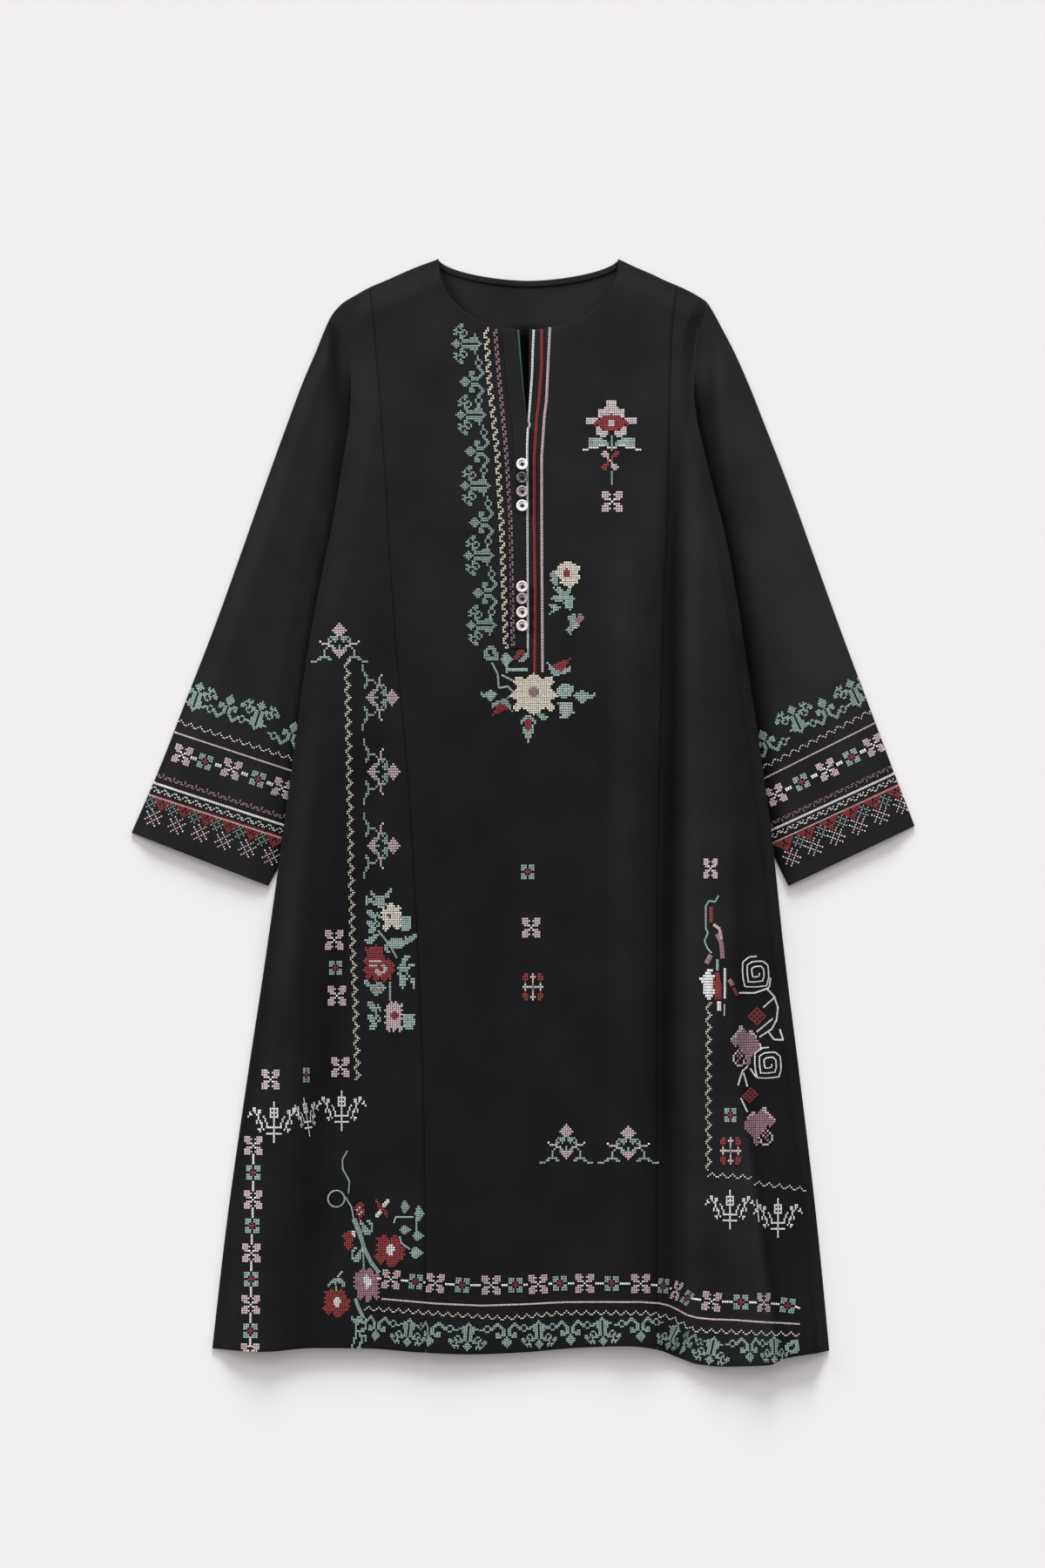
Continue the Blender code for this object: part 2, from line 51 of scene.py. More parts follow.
cloth = {
    "wall": 1.2,
    "seamGap": 0.3,
    "roundedEdge": 0.45,
    "baseLift": 3.6,  # front over back, away from the seams
    "edgeRun": 30.0,
    "leftEdgeRun": 15.0,
    "underSleeve": 45.0,
    "sleeveStepRun": 50.0,
    "riseAboveArmpit": (100.0, 160.0),
    "fallBelowCuff": (695.0, 780.0),
    "backHemShorter": 3.0,
}

neck = {
    "half": 93.0,
    "frontDepth": 73.0,
    "frontCurve": 2.15,
    "backDepth": 22.5,
    "backCurve": 1.7,
    "facingWidth": 6.3,
    "facingHalf": 91.0,
}

# drop, right edge, right princess seam, left seam, left edge
bodyRows = (
    (0, -200.0, -167.0, 158.0, 192.0),
    (30, -197.0, -164.0, 154.5, 188.0),
    (50, -194.4, -161.5, 151.5, 184.0),
    (71, -191.0, -159.5, 149.0, 175.5),
    (104, -184.5, -157.0, 147.5, 171.5),
    (134, -183.0, -154.0, 146.5, 171.0),
    (165, -184.5, -152.0, 146.0, 174.0),
    (194, -189.0, -150.0, 145.5, 180.5),
    (237, -196.0, -147.0, 144.7, 191.0),
    (282, -204.0, -145.0, 143.8, 202.5),
    (345, -217.0, -140.5, 140.6, 214.5),
    (426, -231.0, -134.5, 138.8, 227.0),
    (515, -243.0, -126.0, 136.5, 240.5),
    (600, -254.5, -120.0, 134.5, 252.0),
    (704, -269.0, -114.5, 133.7, 263.0),
    (849, -291.0, -108.5, 133.3, 281.0),
    (993, -311.5, -106.5, 133.2, 298.0),
    (1127, -327.0, -106.0, 133.2, 311.0),
    (1150, -329.5, -106.0, 133.2, 313.0),
)
# out on the right, out on the left, drop
shoulderRows = (
    (-110, -110, -45), (0, 0, 0), (22, 17, 8.1), (39, 34, 15.3), (55, 49, 22.5),
    (72, 66, 29.7), (85, 80, 36.9), (97, 91, 44.1), (106, 97, 51.3),
)
# across, drop
hemRows = (
    (-340, 1125.5), (-275, 1128.5), (-221, 1125), (-167, 1125.5), (-113, 1129.5), (-59, 1131.5),
    (-5, 1129.5), (49, 1125), (103, 1123), (130, 1126), (157, 1136), (175, 1142), (200, 1144),
    (249, 1142), (262, 1136), (311, 1128.6), (330, 1127),
)
# drop, right, left
sleeveOuterRows = (
    (58, -203.4, 193.0), (73, -210.6, 201.0), (93, -218.7, 211.5), (129, -234.0, 227.7),
    (165, -247.5, 242.0), (237, -273.6, 270.0), (309, -299.0, 296.0), (381, -325.0, 322.0),
    (453, -353.0, 349.0), (525, -381.0, 376.0), (593, -410.4, 402.2),
)
sleeveInnerRows = (
    (270, -177.0, 171.0), (300, -180.0, 176.0), (360, -188.0, 186.0), (440, -200.0, 198.0),
    (520, -218.0, 216.5), (588, -240.0, 241.5), (628, -258.3, 259.0), (648, -269.1, 269.0),
)
hiddenSeamRows = ((220, -186.0, 178.5), (245, -181.5, 175.0), (270, -177.0, 171.0))

sleeves = {
    "lift": 3.5,
    "edgeRun": 28.0,
    "corner": 0.7,
    "armpitShare": 0.1345,  # of the body's edge
    "cuffOuterDrop": {"right": 593.0, "left": 586.0},
    "stations": 110,
    "crowding": 1.2,  # of the stations, towards the armhole
    "shownColumns": 36,
    "hiddenColumns": 6,
    "shownShares": (0.3, 0.94),
}

opening = {
    "slitRows": ((70, -13.6, 1.0), (110, -10.0, 0.6), (147, -6.0, 0.3), (195, -3.0, -0.6), (260, -6.0, -3.6)),
    "slitEnd": 194.0,
    "bandRows": (
        (70, -11.8), (110, -8.2), (147, -4.2), (183, 0.4), (203, 1.6), (214, 0.6), (226, -2.4), (410, -2.2),
    ),
    "bandWidth": 15.5,
    "bandEnd": 403.0,
    "bandWall": 1.0,
    "bandRim": 0.35,
    "facingDrop": 0.5,
    "facingEnd": 165.0,
    "facingShown": (1.9, 0.1),
}


def fold(amount, right, left, growth, *crest, fade=0):
    # The amount is a rise, or a change of painted shade. Its widths to the right and left are given at both
    # ends of the crest, whose points are (across, drop). It grows over a length at the top, and dies out over
    # the fade.
    return {"amount": amount, "right": right, "left": left, "growth": growth, "crest": crest, "fade": fade}


largeFolds = (
    fold(-2.9, (17, 30), (36, 44), 190, (158, 150), (158, 1144)),
    fold(4.6, (54, 92), (300, 300), 260, (210, 170), (217, 542), (213, 812), (238, 1020), (255, 1144)),
    fold(2.6, (34, 46), (10, 13), 170, (212, 560), (213, 812), (238, 1020), (255, 1144)),
    fold(2.4, (36, 36), (52, 44), 170, (104, 240), (106, 1000)),
    fold(2.3, (30, 34), (30, 36), 190, (-232, 420), (-251, 813), (-262, 1020), (-272, 1144)),
    fold(2.4, (60, 60), (46, 52), 200, (-184, 380), (-236, 850), (-262, 1144)),
    fold(1.2, (52, 66), (52, 60), 260, (-70, 430), (-84, 1144)),
)
hemLift = {"rise": 2.6, "run": 150.0}
ripples = ((95, 260, 0.3, 0.7), (38, 120, 4.1, 0.35))  # across, drop, place in the noise, rise
# Painted shade and light: the cloth's colour is darkened in the hollows of its folds, towards the hem, beside
# the armholes and on the back behind the slit, and lightened where the cloth stands up.
paintedShades = {
    "front": {"base": 0.96, "atHem": 0.73, "bands": (
        fold(-0.58, (20, 34), (14, 16), 160, (149, 150), (149, 543), (142, 813), (144, 1144), fade=330),
        fold(0.36, (9, 11), (18, 22), 60, (168, 130), (168, 1144)),
        fold(0.16, (34, 30), (24, 18), 90, (198, 430), (200, 760), fade=120),
        fold(0.42, (48, 78), (6, 8), 160, (208, 777), (223, 903), (235, 993), (253, 1139)),
        fold(0.3, (16, 20), (5, 6), 120, (213, 850), (226, 903), (238, 993), (256, 1139)),
        fold(-0.22, (8, 8), (28, 34), 120, (216, 777), (231, 903), (243, 993), (261, 1139)),
        fold(0.24, (16, 16), (32, 26), 160, (99, 230), (102, 900), fade=200),
        fold(-0.13, (13, 13), (11, 11), 120, (77, 330), (77, 1010), fade=120),
        fold(-0.38, (22, 30), (26, 34), 220, (-186, 600), (-222, 900), (-229, 1144)),
        fold(0.32, (16, 16), (14, 14), 90, (-238, 620), (-246, 813), (-250, 960), fade=90),
        # painted shade: dark lines along both armholes
        fold(-0.5, (4, 4), (4, 4), 12, (-200, 48), (-190, 82), (-186, 110), (-187, 160), (-191, 200),
             fade=40),
        fold(-0.5, (4, 4), (4, 4), 12, (184, 48), (177, 70), (174, 95), (179, 141), (185, 182), fade=40),
        fold(0.55, (15, 20), (10, 10), 100, (227, 426), (252, 600), (263, 704), (281, 849), (298, 993),
             (311, 1127)),
    )},
    "back": {"base": 1.1, "atHem": 1.0, "bands": (
        # painted shadow: the back is darkened where it shows through the slit
        fold(-0.97, (34, 24), (34, 24), 5, (-3, 69), (-1, 197)),
    )},
    "right": {"base": 1.07, "atHem": 0.98, "bands": (
        # painted shade: the sleeve is darkened beside the armhole
        fold(-0.45, (10, 9), (9, 9), 20, (-205, 56), (-199, 110), (-196, 160), (-198, 200), (-210, 273),
             fade=60),
        fold(-0.62, (13, 9), (20, 20), 60, (-186, 90), (-187, 165), (-203, 273), (-223, 372), (-236, 460),
             (-248, 545)),
    )},
    "left": {"base": 1.05, "atHem": 0.98, "bands": (
        # painted shade beside the armhole, and painted light on the sleeve's upper part
        fold(-0.75, (20, 20), (34, 22), 60, (178, 100), (174, 165), (187, 219), (200, 273), (219, 372),
             (237, 489), (250, 590)),
        fold(0.45, (75, 100), (40, 40), 90, (232, 110), (290, 300), (330, 430), (372, 560), fade=160),
    )},
}
# painted shade: the cloth's colour darkens towards the hem over this run
paintedHemShade = {"start": 270, "run": 270}


def ease(t):
    t = min(1.0, max(0.0, t))
    return t * t * (3 - 2 * t)


def lerp(a, b, t):
    return a + (b - a) * t


def smoothLine(rows, key, value):  # a monotone cubic through two columns of a table
    at = [float(row[key]) for row in rows]
    to = [float(row[value]) for row in rows]
    slopes = [(d - c) / (b - a) for a, b, c, d in zip(at, at[1:], to, to[1:])]
    lean = [slopes[0]]
    for before, after in zip(slopes, slopes[1:]):
        lean.append(2 * before * after / (before + after) if before * after > 0 else 0.0)
    lean.append(slopes[-1])

    def line(x):
        i = min(max(bisect.bisect_right(at, x) - 1, 0), len(at) - 2)
        width = at[i + 1] - at[i]
        t = (x - at[i]) / width
        if t < 0 or t > 1:
            end = i + (t > 1)
            return to[end] + lean[end] * (x - at[end])
        rise = to[i] * (1 + 2 * t) * (1 - t) ** 2 + to[i + 1] * t * t * (3 - 2 * t)
        return rise + width * (lean[i] * t * (1 - t) ** 2 - lean[i + 1] * t * t * (1 - t))

    return line


rightEdge, rightSeam, leftSeam, leftEdge = [smoothLine(bodyRows, 0, column) for column in (1, 2, 3, 4)]
paintedShades["front"]["seams"] = (rightSeam, leftSeam)
seamShade = {"paintedShade": 0.27, "width": 0.9}
rightShoulder, leftShoulder = smoothLine(shoulderRows, 0, 2), smoothLine(shoulderRows, 1, 2)
frontHem = smoothLine(hemRows, 0, 1)
slitRight, slitLeft = smoothLine(opening["slitRows"], 0, 1), smoothLine(opening["slitRows"], 0, 2)
bandEdge = smoothLine(opening["bandRows"], 0, 1)


def toFrame(across, drop, height):
    return Vector((across - middle["across"], middle["drop"] - drop, height)) * mm


def shoulderDrop(across):
    shoulder = rightShoulder if across < 0 else leftShoulder
    return shoulder(abs(across) - neck["half"])


def neckline(across, depth, curve):
    if abs(across) >= neck["half"]:
        return shoulderDrop(across)
    return depth * (1 - (abs(across) / neck["half"]) ** curve) ** (1 / curve)


def frontTop(across):
    return neckline(across, neck["frontDepth"], neck["frontCurve"])


def backTop(across):
    return neckline(across, neck["backDepth"], neck["backCurve"])


def backHem(across):
    return frontHem(across) - cloth["backHemShorter"]


def insideEdge(across, drop):
    return min(across - rightEdge(drop), leftEdge(drop) - across)


def backUnderside(across, drop):
    (riseStart, riseEnd), (fallStart, fallEnd) = cloth["riseAboveArmpit"], cloth["fallBelowCuff"]
    risen = ease((drop - riseStart) / (riseEnd - riseStart))
    fallen = ease((drop - fallStart) / (fallEnd - fallStart))
    beside = 1 - ease((insideEdge(across, drop) - cloth["underSleeve"]) / cloth["sleeveStepRun"])
    return 2 * (cloth["wall"] + cloth["seamGap"]) * risen * (1 - fallen) * beside


def withinFold(laid, across, drop):  # 1 on the crest, 0 outside the fold
    crest = laid["crest"]
    top, foot = crest[0][1], crest[-1][1]
    if drop <= top:
        return 0.0
    for start, end in zip(crest, crest[1:]):
        if drop <= end[1] or end == crest[-1]:
            line = lerp(start[0], end[0], (drop - start[1]) / (end[1] - start[1]))
            break
    width = lerp(*laid["right" if across < line else "left"], min(1.0, (drop - top) / (foot - top)))
    fading = ease((foot - drop) / laid["fade"]) if laid["fade"] else 1.0
    return ease((drop - top) / laid["growth"]) * ease(1 - abs(across - line) / width) * fading


def foldHeight(folds, across, drop):
    return sum(each["amount"] * withinFold(each, across, drop) for each in folds)


# the painted shade of the cloth at a place, as a factor on its colour
def paintedShadeAt(panelShading, across, drop):
    lower = ease((drop - paintedHemShade["start"]) / paintedHemShade["run"])
    paintedShade = panelShading["base"] * lerp(1.0, panelShading["atHem"], lower)
    for band in panelShading["bands"]:
        paintedShade *= 1 + band["amount"] * withinFold(band, across, drop)
    for seam in panelShading.get("seams", ()):
        paintedShade *= 1 - seamShade["paintedShade"] * ease(1 - abs(across - seam(drop)) / seamShade["width"])
    return paintedShade


def ripple(across, drop):  # slight unevenness of cloth that has hung and been pressed
    return sum(
        rise * noise.noise(Vector((across / wide, drop / long, place))) for wide, long, place, rise in ripples
    )


def frontUnderside(across, drop):
    beside = ease(insideEdge(across, drop) / cloth["edgeRun" if across < 0 else "leftEdgeRun"])
    below = ease((drop - shoulderDrop(across)) / cloth["edgeRun"])
    lift = cloth["baseLift"] + foldHeight(largeFolds, across, drop) + ripple(across, drop)
    lift += hemLift["rise"] * ease(1 - (frontHem(across) - drop) / hemLift["run"])
    return backUnderside(across, drop) + cloth["wall"] + cloth["seamGap"] + lift * beside * below


def frontFace(across, drop):
    return frontUnderside(across, drop) + cloth["wall"]


def meet(across, line, rounds=40):  # drop where a column, whose across depends on the drop, meets a line
    drop = 0.0
    for _ in range(rounds):
        drop = line(across(drop))
    return drop


def even(start, end, count):
    return [lerp(start, end, i / count) for i in range(1, count + 1)]


def crowded(start, end, count):
    return [lerp(start, end, 1 - math.cos(math.pi / 2 * i / count)) for i in range(1, count + 1)]


def clothGrid(columns, rows, place):
    # a grid whose vertices go to place(column, row), counted from the top left
    bm = bmesh.new()
    bmesh.ops.create_grid(bm, x_segments=columns, y_segments=rows, size=0.5)
    found = {}
    for vert in bm.verts:
        key = round((0.5 + vert.co.x) * columns), round((0.5 - vert.co.y) * rows)
        vert.co = place(*key)
        found[key] = vert
    return bm, found


def thicken(bm, wall):
    made = bmesh.ops.extrude_face_region(bm, geom=bm.faces[:])
    raised = [item for item in made["geom"] if isinstance(item, bmesh.types.BMVert)]
    bmesh.ops.translate(bm, verts=raised, vec=(0, 0, wall * mm))
    bmesh.ops.recalc_face_normals(bm, faces=bm.faces)


def roundRims(bm, width):
    rims = [edge for edge in bm.edges if edge.is_manifold and edge.calc_face_angle() > math.radians(60)]
    bmesh.ops.bevel(
        bm, geom=rims, affect="EDGES", offset=width * mm, offset_type="OFFSET", segments=2,
        profile=0.5, material=-1, clamp_overlap=True,
    )


def newCollection(name):
    made = bpy.data.collections.new(name)
    bpy.context.scene.collection.children.link(made)
    return made


dress, ground = newCollection("dress"), newCollection("ground")


def meshOf(name, bm):
    mesh = bpy.data.meshes.new(name)
    bm.to_mesh(mesh)
    bm.free()
    return mesh


def newPiece(name, bm, material, replaced=(), panelShading=None):
    mesh = meshOf(name, bm)
    if panelShading:
        paintShadeOnCloth(mesh, panelShading)
    return addPiece(name, mesh, material, replaced)


def paintShadeOnCloth(mesh, panelShading):  # keeps the painted shade at each vertex, for the cloth's material
    kept = mesh.attributes.new("paintedShade", "FLOAT", "POINT")
    for vert, paintedShade in zip(mesh.vertices, kept.data):
        across, drop = vert.co.x / mm + middle["across"], middle["drop"] - vert.co.y / mm
        paintedShade.value = paintedShadeAt(panelShading, across, drop)


def addPiece(name, mesh, material, replaced=()):
    mesh.shade_smooth()
    mesh.set_sharp_from_angle(angle=math.radians(50))
    piece = bpy.data.objects.new(name, mesh)
    dress.objects.link(piece)
    mesh.materials.append(material)
    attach(piece, "root")
    if replaced:
        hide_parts(*replaced)
    return piece


# Materials


def setInputs(tree, node, inputs):  # each input is given a value, or another node's output
    for key, value in inputs.items():
        if isinstance(value, bpy.types.NodeSocket):
            tree.links.new(value, node.inputs[key])
        else:
            node.inputs[key].default_value = value


def addNode(tree, kind, inputs, output, **settings):
    node = tree.nodes.new("ShaderNode" + kind)
    for key, value in settings.items():
        setattr(node, key, value)
    setInputs(tree, node, inputs)
    return node.outputs[output]


def newMaterial(name, roughness, sheen=0.0, specular=0.2):
    material = bpy.data.materials.new(name)
    material.use_nodes = True
    tree = material.node_tree
    shader = tree.nodes["Principled BSDF"]
    setInputs(tree, shader, {"Roughness": roughness, "Sheen Weight": sheen, "Specular IOR Level": specular})
    return material, tree, shader


def onObject(tree, turn=0.0):
    place = addNode(tree, "TexCoord", {}, "Object")
    return addNode(tree, "Mapping", {"Vector": place, "Rotation": (0, 0, turn)}, "Vector") if turn else place


def cloud(tree, place, scale, detail=2.0, distortion=0.0):
    inputs = {"Vector": place, "Scale": scale, "Detail": detail, "Distortion": distortion}
    return addNode(tree, "TexNoise", inputs, "Fac")


def ramp(tree, share, places, shades):
    colour = addNode(tree, "ValToRGB", {"Fac": share}, "Color")
    for element, place, shade in zip(colour.node.color_ramp.elements, places, shades):
        element.position, element.color = place, (*shade, 1)
    return colour


def wovenMaterial(name, shades, roughness, sheen, threadsPerMetre=1600, turn=0.0, shadePainted=False):
    material, tree, shader = newMaterial(name, roughness, sheen, 0.06)
    place = onObject(tree, turn)
    wave = {"Vector": place, "Scale": threadsPerMetre / 20 * math.pi, "Distortion": 0.6, "Detail": 1.0}
    warp, weft = [
        addNode(tree, "TexWave", wave, "Fac", bands_direction=way, wave_profile="SIN") for way in ("X", "Y")
    ]
    weave = addNode(tree, "Math", {0: warp, 1: weft}, "Value", operation="MAXIMUM")
    cloudy, grain = cloud(tree, place, 16, 5), cloud(tree, place, 900)
    mixed = addNode(tree, "Math", {0: grain, 1: 0.35, 2: cloudy}, "Value", operation="MULTIPLY_ADD")
    colour = ramp(tree, mixed, (0.45, 0.95), shades)
    # painted shade: the colour is scaled by the shade painted at each vertex
    if shadePainted:
        paintedShade = addNode(tree, "Attribute", {}, "Fac", attribute_name="paintedShade")
        colour = addNode(tree, "VectorMath", {0: colour, "Scale": paintedShade}, "Vector", operation="SCALE")
    bump = addNode(tree, "Bump", {"Strength": 0.25, "Distance": 0.0002, "Height": weave}, "Normal")
    setInputs(tree, shader, {"Base Color": colour, "Normal": bump, "Sheen Roughness": 0.5})
    return material


blackShades = ((0.0093, 0.0093, 0.0106), (0.0150, 0.0150, 0.0167))
bodyCloth, rightSleeveCloth, leftSleeveCloth = [
    wovenMaterial("blackCotton" + name, blackShades, 0.88, 0.01, turn=turn, shadePainted=True)
    for name, turn in (("", 0.0), ("RightSleeve", -0.36), ("LeftSleeve", 0.36))
]
tealCloth = wovenMaterial("tealCotton", ((0.05, 0.12, 0.118), (0.08, 0.18, 0.175)), 0.8, 0.1)


def finishCloth(name, bm, node, panelShading, wall=cloth["wall"], rim=cloth["roundedEdge"]):
    thicken(bm, wall)
    roundRims(bm, rim)
    return newPiece(name, bm, bodyCloth, [node], panelShading)


# Body panels

panels = {
    "rows": 260, "sideColumns": 46, "centreOuter": 15, "centreNeck": 22, "backOuter": 26, "backNeck": 22,
}


def panel(lines, ends, underside, rows=panels["rows"]):  # each line gives a column's across by drop
    spans = [(meet(line, ends[0]), meet(line, ends[1])) for line in lines]

    def place(column, row):
        drop = lerp(*spans[column], row / rows)
        across = lines[column](drop)
        return toFrame(across, drop, underside(across, drop))

    return clothGrid(len(lines) - 1, rows, place)


def between(sideA, sideB, share):
    return lambda drop: lerp(sideA(drop), sideB(drop), share)


def beside(seam, gap):
    return lambda drop: seam(drop) + gap


def makeFrontCentre():
    seamA, seamB = beside(rightSeam, cloth["seamGap"] / 2), beside(leftSeam, -cloth["seamGap"] / 2)
    neckA = (-neck["half"] - seamA(0)) / (slitRight(0) - seamA(0))
    neckB = (neck["half"] - seamB(0)) / (slitLeft(0) - seamB(0))
    outer, inner = panels["centreOuter"], panels["centreNeck"]
    rightHalf = [0, *even(0, neckA, outer), *crowded(neckA, 1, inner)]
    leftHalf = [0, *even(0, neckB, outer), *crowded(neckB, 1, inner)][::-1]
    lines = [between(seamA, slitRight, share) for share in rightHalf]
    lines += [between(seamB, slitLeft, share) for share in leftHalf]
    strip = len(rightHalf) - 1
    bm, verts = panel(lines, (frontTop, frontHem), frontUnderside)
    slitFoot = (middle["drop"] - opening["slitEnd"]) * mm
    inStrip = {verts[column, row] for column in (strip, strip + 1) for row in range(panels["rows"] + 1)}
    opened = [face for face in bm.faces if inStrip.issuperset(face.verts)
              and face.calc_center_median().y > slitFoot]
    bmesh.ops.delete(bm, geom=opened, context="FACES")
    return finishCloth("frontCentre", bm, "front_centre", paintedShades["front"])


def makeFrontSide(name, node, sideA, sideB):
    columns = panels["sideColumns"]
    lines = [between(sideA, sideB, column / columns) for column in range(columns + 1)]
    bm, _ = panel(lines, (frontTop, frontHem), frontUnderside)
    return finishCloth(name, bm, node, paintedShades["front"])


def makeBack():
    neckA, neckB = [
        (across - rightEdge(0)) / (leftEdge(0) - rightEdge(0)) for across in (-neck["half"], neck["half"])
    ]
    centre = (neckA + neckB) / 2
    outer, inner = panels["backOuter"], panels["backNeck"]
    rightHalf = [0, *even(0, neckA, outer), *crowded(neckA, centre, inner)]
    leftHalf = [1, *even(1, neckB, outer), *crowded(neckB, centre, inner)][::-1]
    lines = [between(rightEdge, leftEdge, share) for share in rightHalf[:-1] + leftHalf]
    bm, _ = panel(lines, (backTop, backHem), backUnderside, panels["rows"] // 2)
    return finishCloth("backPanel", bm, "back", paintedShades["back"])


frontCentre = makeFrontCentre()
frontSideRight = makeFrontSide("frontSideRight", "front_side_right", rightEdge,
                               beside(rightSeam, -cloth["seamGap"] / 2))
frontSideLeft = makeFrontSide("frontSideLeft", "front_side_left",
                              beside(leftSeam, cloth["seamGap"] / 2), leftEdge)
back = makeBack()
print("panels cut and laid")


# Sleeves, each a tube folded flat. s runs from the armhole to the cuff, w from the outer edge to the inner.

sleeveFolds = {
    "right": (
        fold(-2.2, (12, 12), (10, 10), 30, (-196, 62), (-200, 200)),
    ),
    "left": (
        fold(-2.2, (10, 10), (12, 12), 30, (189, 56), (196, 200)),
    ),
}


def makeSleeve(side, sign, material):
    bodyEdge = rightEdge if side == "right" else leftEdge
    column = 1 if side == "right" else 2
    tip, hem = meet(bodyEdge, shoulderDrop), meet(bodyEdge, frontHem)
    armpit = lerp(tip, hem, sleeves["armpitShare"])
    seamAcross = beside(bodyEdge, sign * cloth["seamGap"])
    tipRow, armpitRow = [(drop, *[seamAcross(drop)] * 2) for drop in (tip, armpit)]
    outer = smoothLine((tipRow, *sleeveOuterRows), 0, column)
    inner = smoothLine(sleeveInnerRows, 0, column)
    hiddenSeam = smoothLine((armpitRow, *hiddenSeamRows), 0, column)
    seamEnd, innerEnd = hiddenSeamRows[-1][0], sleeveInnerRows[-1][0]
    cuffDrop = sleeves["cuffOuterDrop"][side]

    def outerPoint(s):
        drop = lerp(tip, cuffDrop, s)
        return Vector((outer(drop), drop))

    def innerPoint(s):
        drop = lerp(seamEnd, innerEnd, s)
        return Vector((inner(drop), drop))

    def seamPoint(w):
        drop = lerp(tip, seamEnd, w)
        return Vector(((seamAcross if drop < armpit else hiddenSeam)(drop), drop))

    def plan(s, w):  # a Coons patch with a straight cuff
        cuff = outerPoint(1).lerp(innerPoint(1), w)
        ends = seamPoint(w).lerp(cuff, s)
        edges = outerPoint(s).lerp(innerPoint(s), w)
        return ends + edges - seamPoint(0).lerp(seamPoint(1), w).lerp(cuff, s)

    def outsideBody(point):
        return sign * (point.x - bodyEdge(point.y))

    def shownShare(s):
        if s == 0:
            return (armpit - tip) / (seamEnd - tip)
        low, high = sleeves["shownShares"]
        for _ in range(24):
            half = (low + high) / 2
            if outsideBody(plan(s, half)) > 0:
                low = half
            else:
                high = half
        return low

    def top(point, s):
        fromOuter = (point - outerPoint(s)).length
        raised = ease(fromOuter / sleeves["edgeRun"]) * ease(outsideBody(point) / sleeves["edgeRun"])
        lift = sleeves["lift"] + ripple(point.x, point.y) + foldHeight(sleeveFolds[side], *point)
        return 2 * cloth["wall"] + cloth["seamGap"] + lift * raised

    def ring(s, inset):
        share = shownShare(s)
        shares = [0, *even(0, share, sleeves["shownColumns"]), *even(share, 1, sleeves["hiddenColumns"])]
        outermost, innermost = plan(s, 0), plan(s, 1)
        inwards = (innermost - outermost).normalized()
        ends = {0: inwards * (sleeves["corner"] + inset), 1: -inwards * (sleeves["corner"] + inset)}
        upper, lower = [], []
        for w in shares:
            point = plan(s, w)
            moved = point + ends.get(w, Vector((0, 0)))
            upper.append(toFrame(*moved, top(point, s) - inset))
            lower.append(toFrame(*moved, inset))
        half = cloth["wall"] + cloth["seamGap"] / 2
        outerEnd, innerEnd = outermost + inwards * inset, innermost - inwards * inset
        return [toFrame(*outerEnd, half), *upper, toFrame(*innerEnd, half), *reversed(lower)]

    count = sleeves["stations"]
    stations = [(i / count) ** sleeves["crowding"] for i in range(count + 1)]
    rings = [ring(s, 0) for s in stations] + [ring(s, cloth["wall"]) for s in reversed(stations)]
    around = len(rings[0])
    bm, _ = clothGrid(around, len(rings), lambda column, row: rings[row % len(rings)][column % around])
    bmesh.ops.remove_doubles(bm, verts=bm.verts, dist=0.01 * mm)
    bmesh.ops.recalc_face_normals(bm, faces=bm.faces)
    return newPiece(f"{side}Sleeve", bm, material, [f"sleeve_{side}"], paintedShades[side])


rightSleeve = makeSleeve("right", -1, rightSleeveCloth)
leftSleeve = makeSleeve("left", 1, leftSleeveCloth)
print("sleeves set in")


# Neck facing, button band and the teal facing in the slit


def makeNeckFacing(columns=90, rows=3):
    def place(column, row):
        across = lerp(-neck["facingHalf"], neck["facingHalf"], column / columns)
        drop = backTop(across) + neck["facingWidth"] * row / rows
        return toFrame(across, drop, cloth["wall"] + cloth["seamGap"])

    bm, _ = clothGrid(columns, rows, place)
    return finishCloth(
        "neckFacing", bm, "back_neck_facing", paintedShades["back"], opening["bandWall"], opening["bandRim"],
    )


def makeButtonBand(columns=6, rows=150):
    def place(column, row):
        drop = lerp(neck["frontDepth"], opening["bandEnd"], row / rows)
        across = bandEdge(drop) - opening["bandWidth"] * (1 - column / columns)
        drop = max(drop, frontTop(across) + cloth["seamGap"])
        return toFrame(across, drop, frontFace(across, drop) + cloth["seamGap"])

    bm, _ = clothGrid(columns, rows, place)
    return finishCloth(
        "buttonBand", bm, "button_band", paintedShades["front"], opening["bandWall"], opening["bandRim"],
    )


def makeSlitFacing(rows=40):
    def place(column, row):
        drop = lerp(neck["frontDepth"] + opening["facingDrop"], opening["facingEnd"], row / rows)
        shown = lerp(*opening["facingShown"], row / rows)
        across = bandEdge(drop) + shown if column else slitRight(drop) + cloth["seamGap"]
        return toFrame(across, drop, frontFace(across, drop) - opening["bandWall"])

    bm, _ = clothGrid(1, rows, place)
    thicken(bm, opening["bandWall"])
    return newPiece("slitFacing", bm, tealCloth, ["slit_facing"])


neckFacing = makeNeckFacing()
buttonBand = makeButtonBand()
slitFacing = makeSlitFacing()
print("neck and slit faced")


# Buttons: a turned body with four holes, and the thread that sews it on

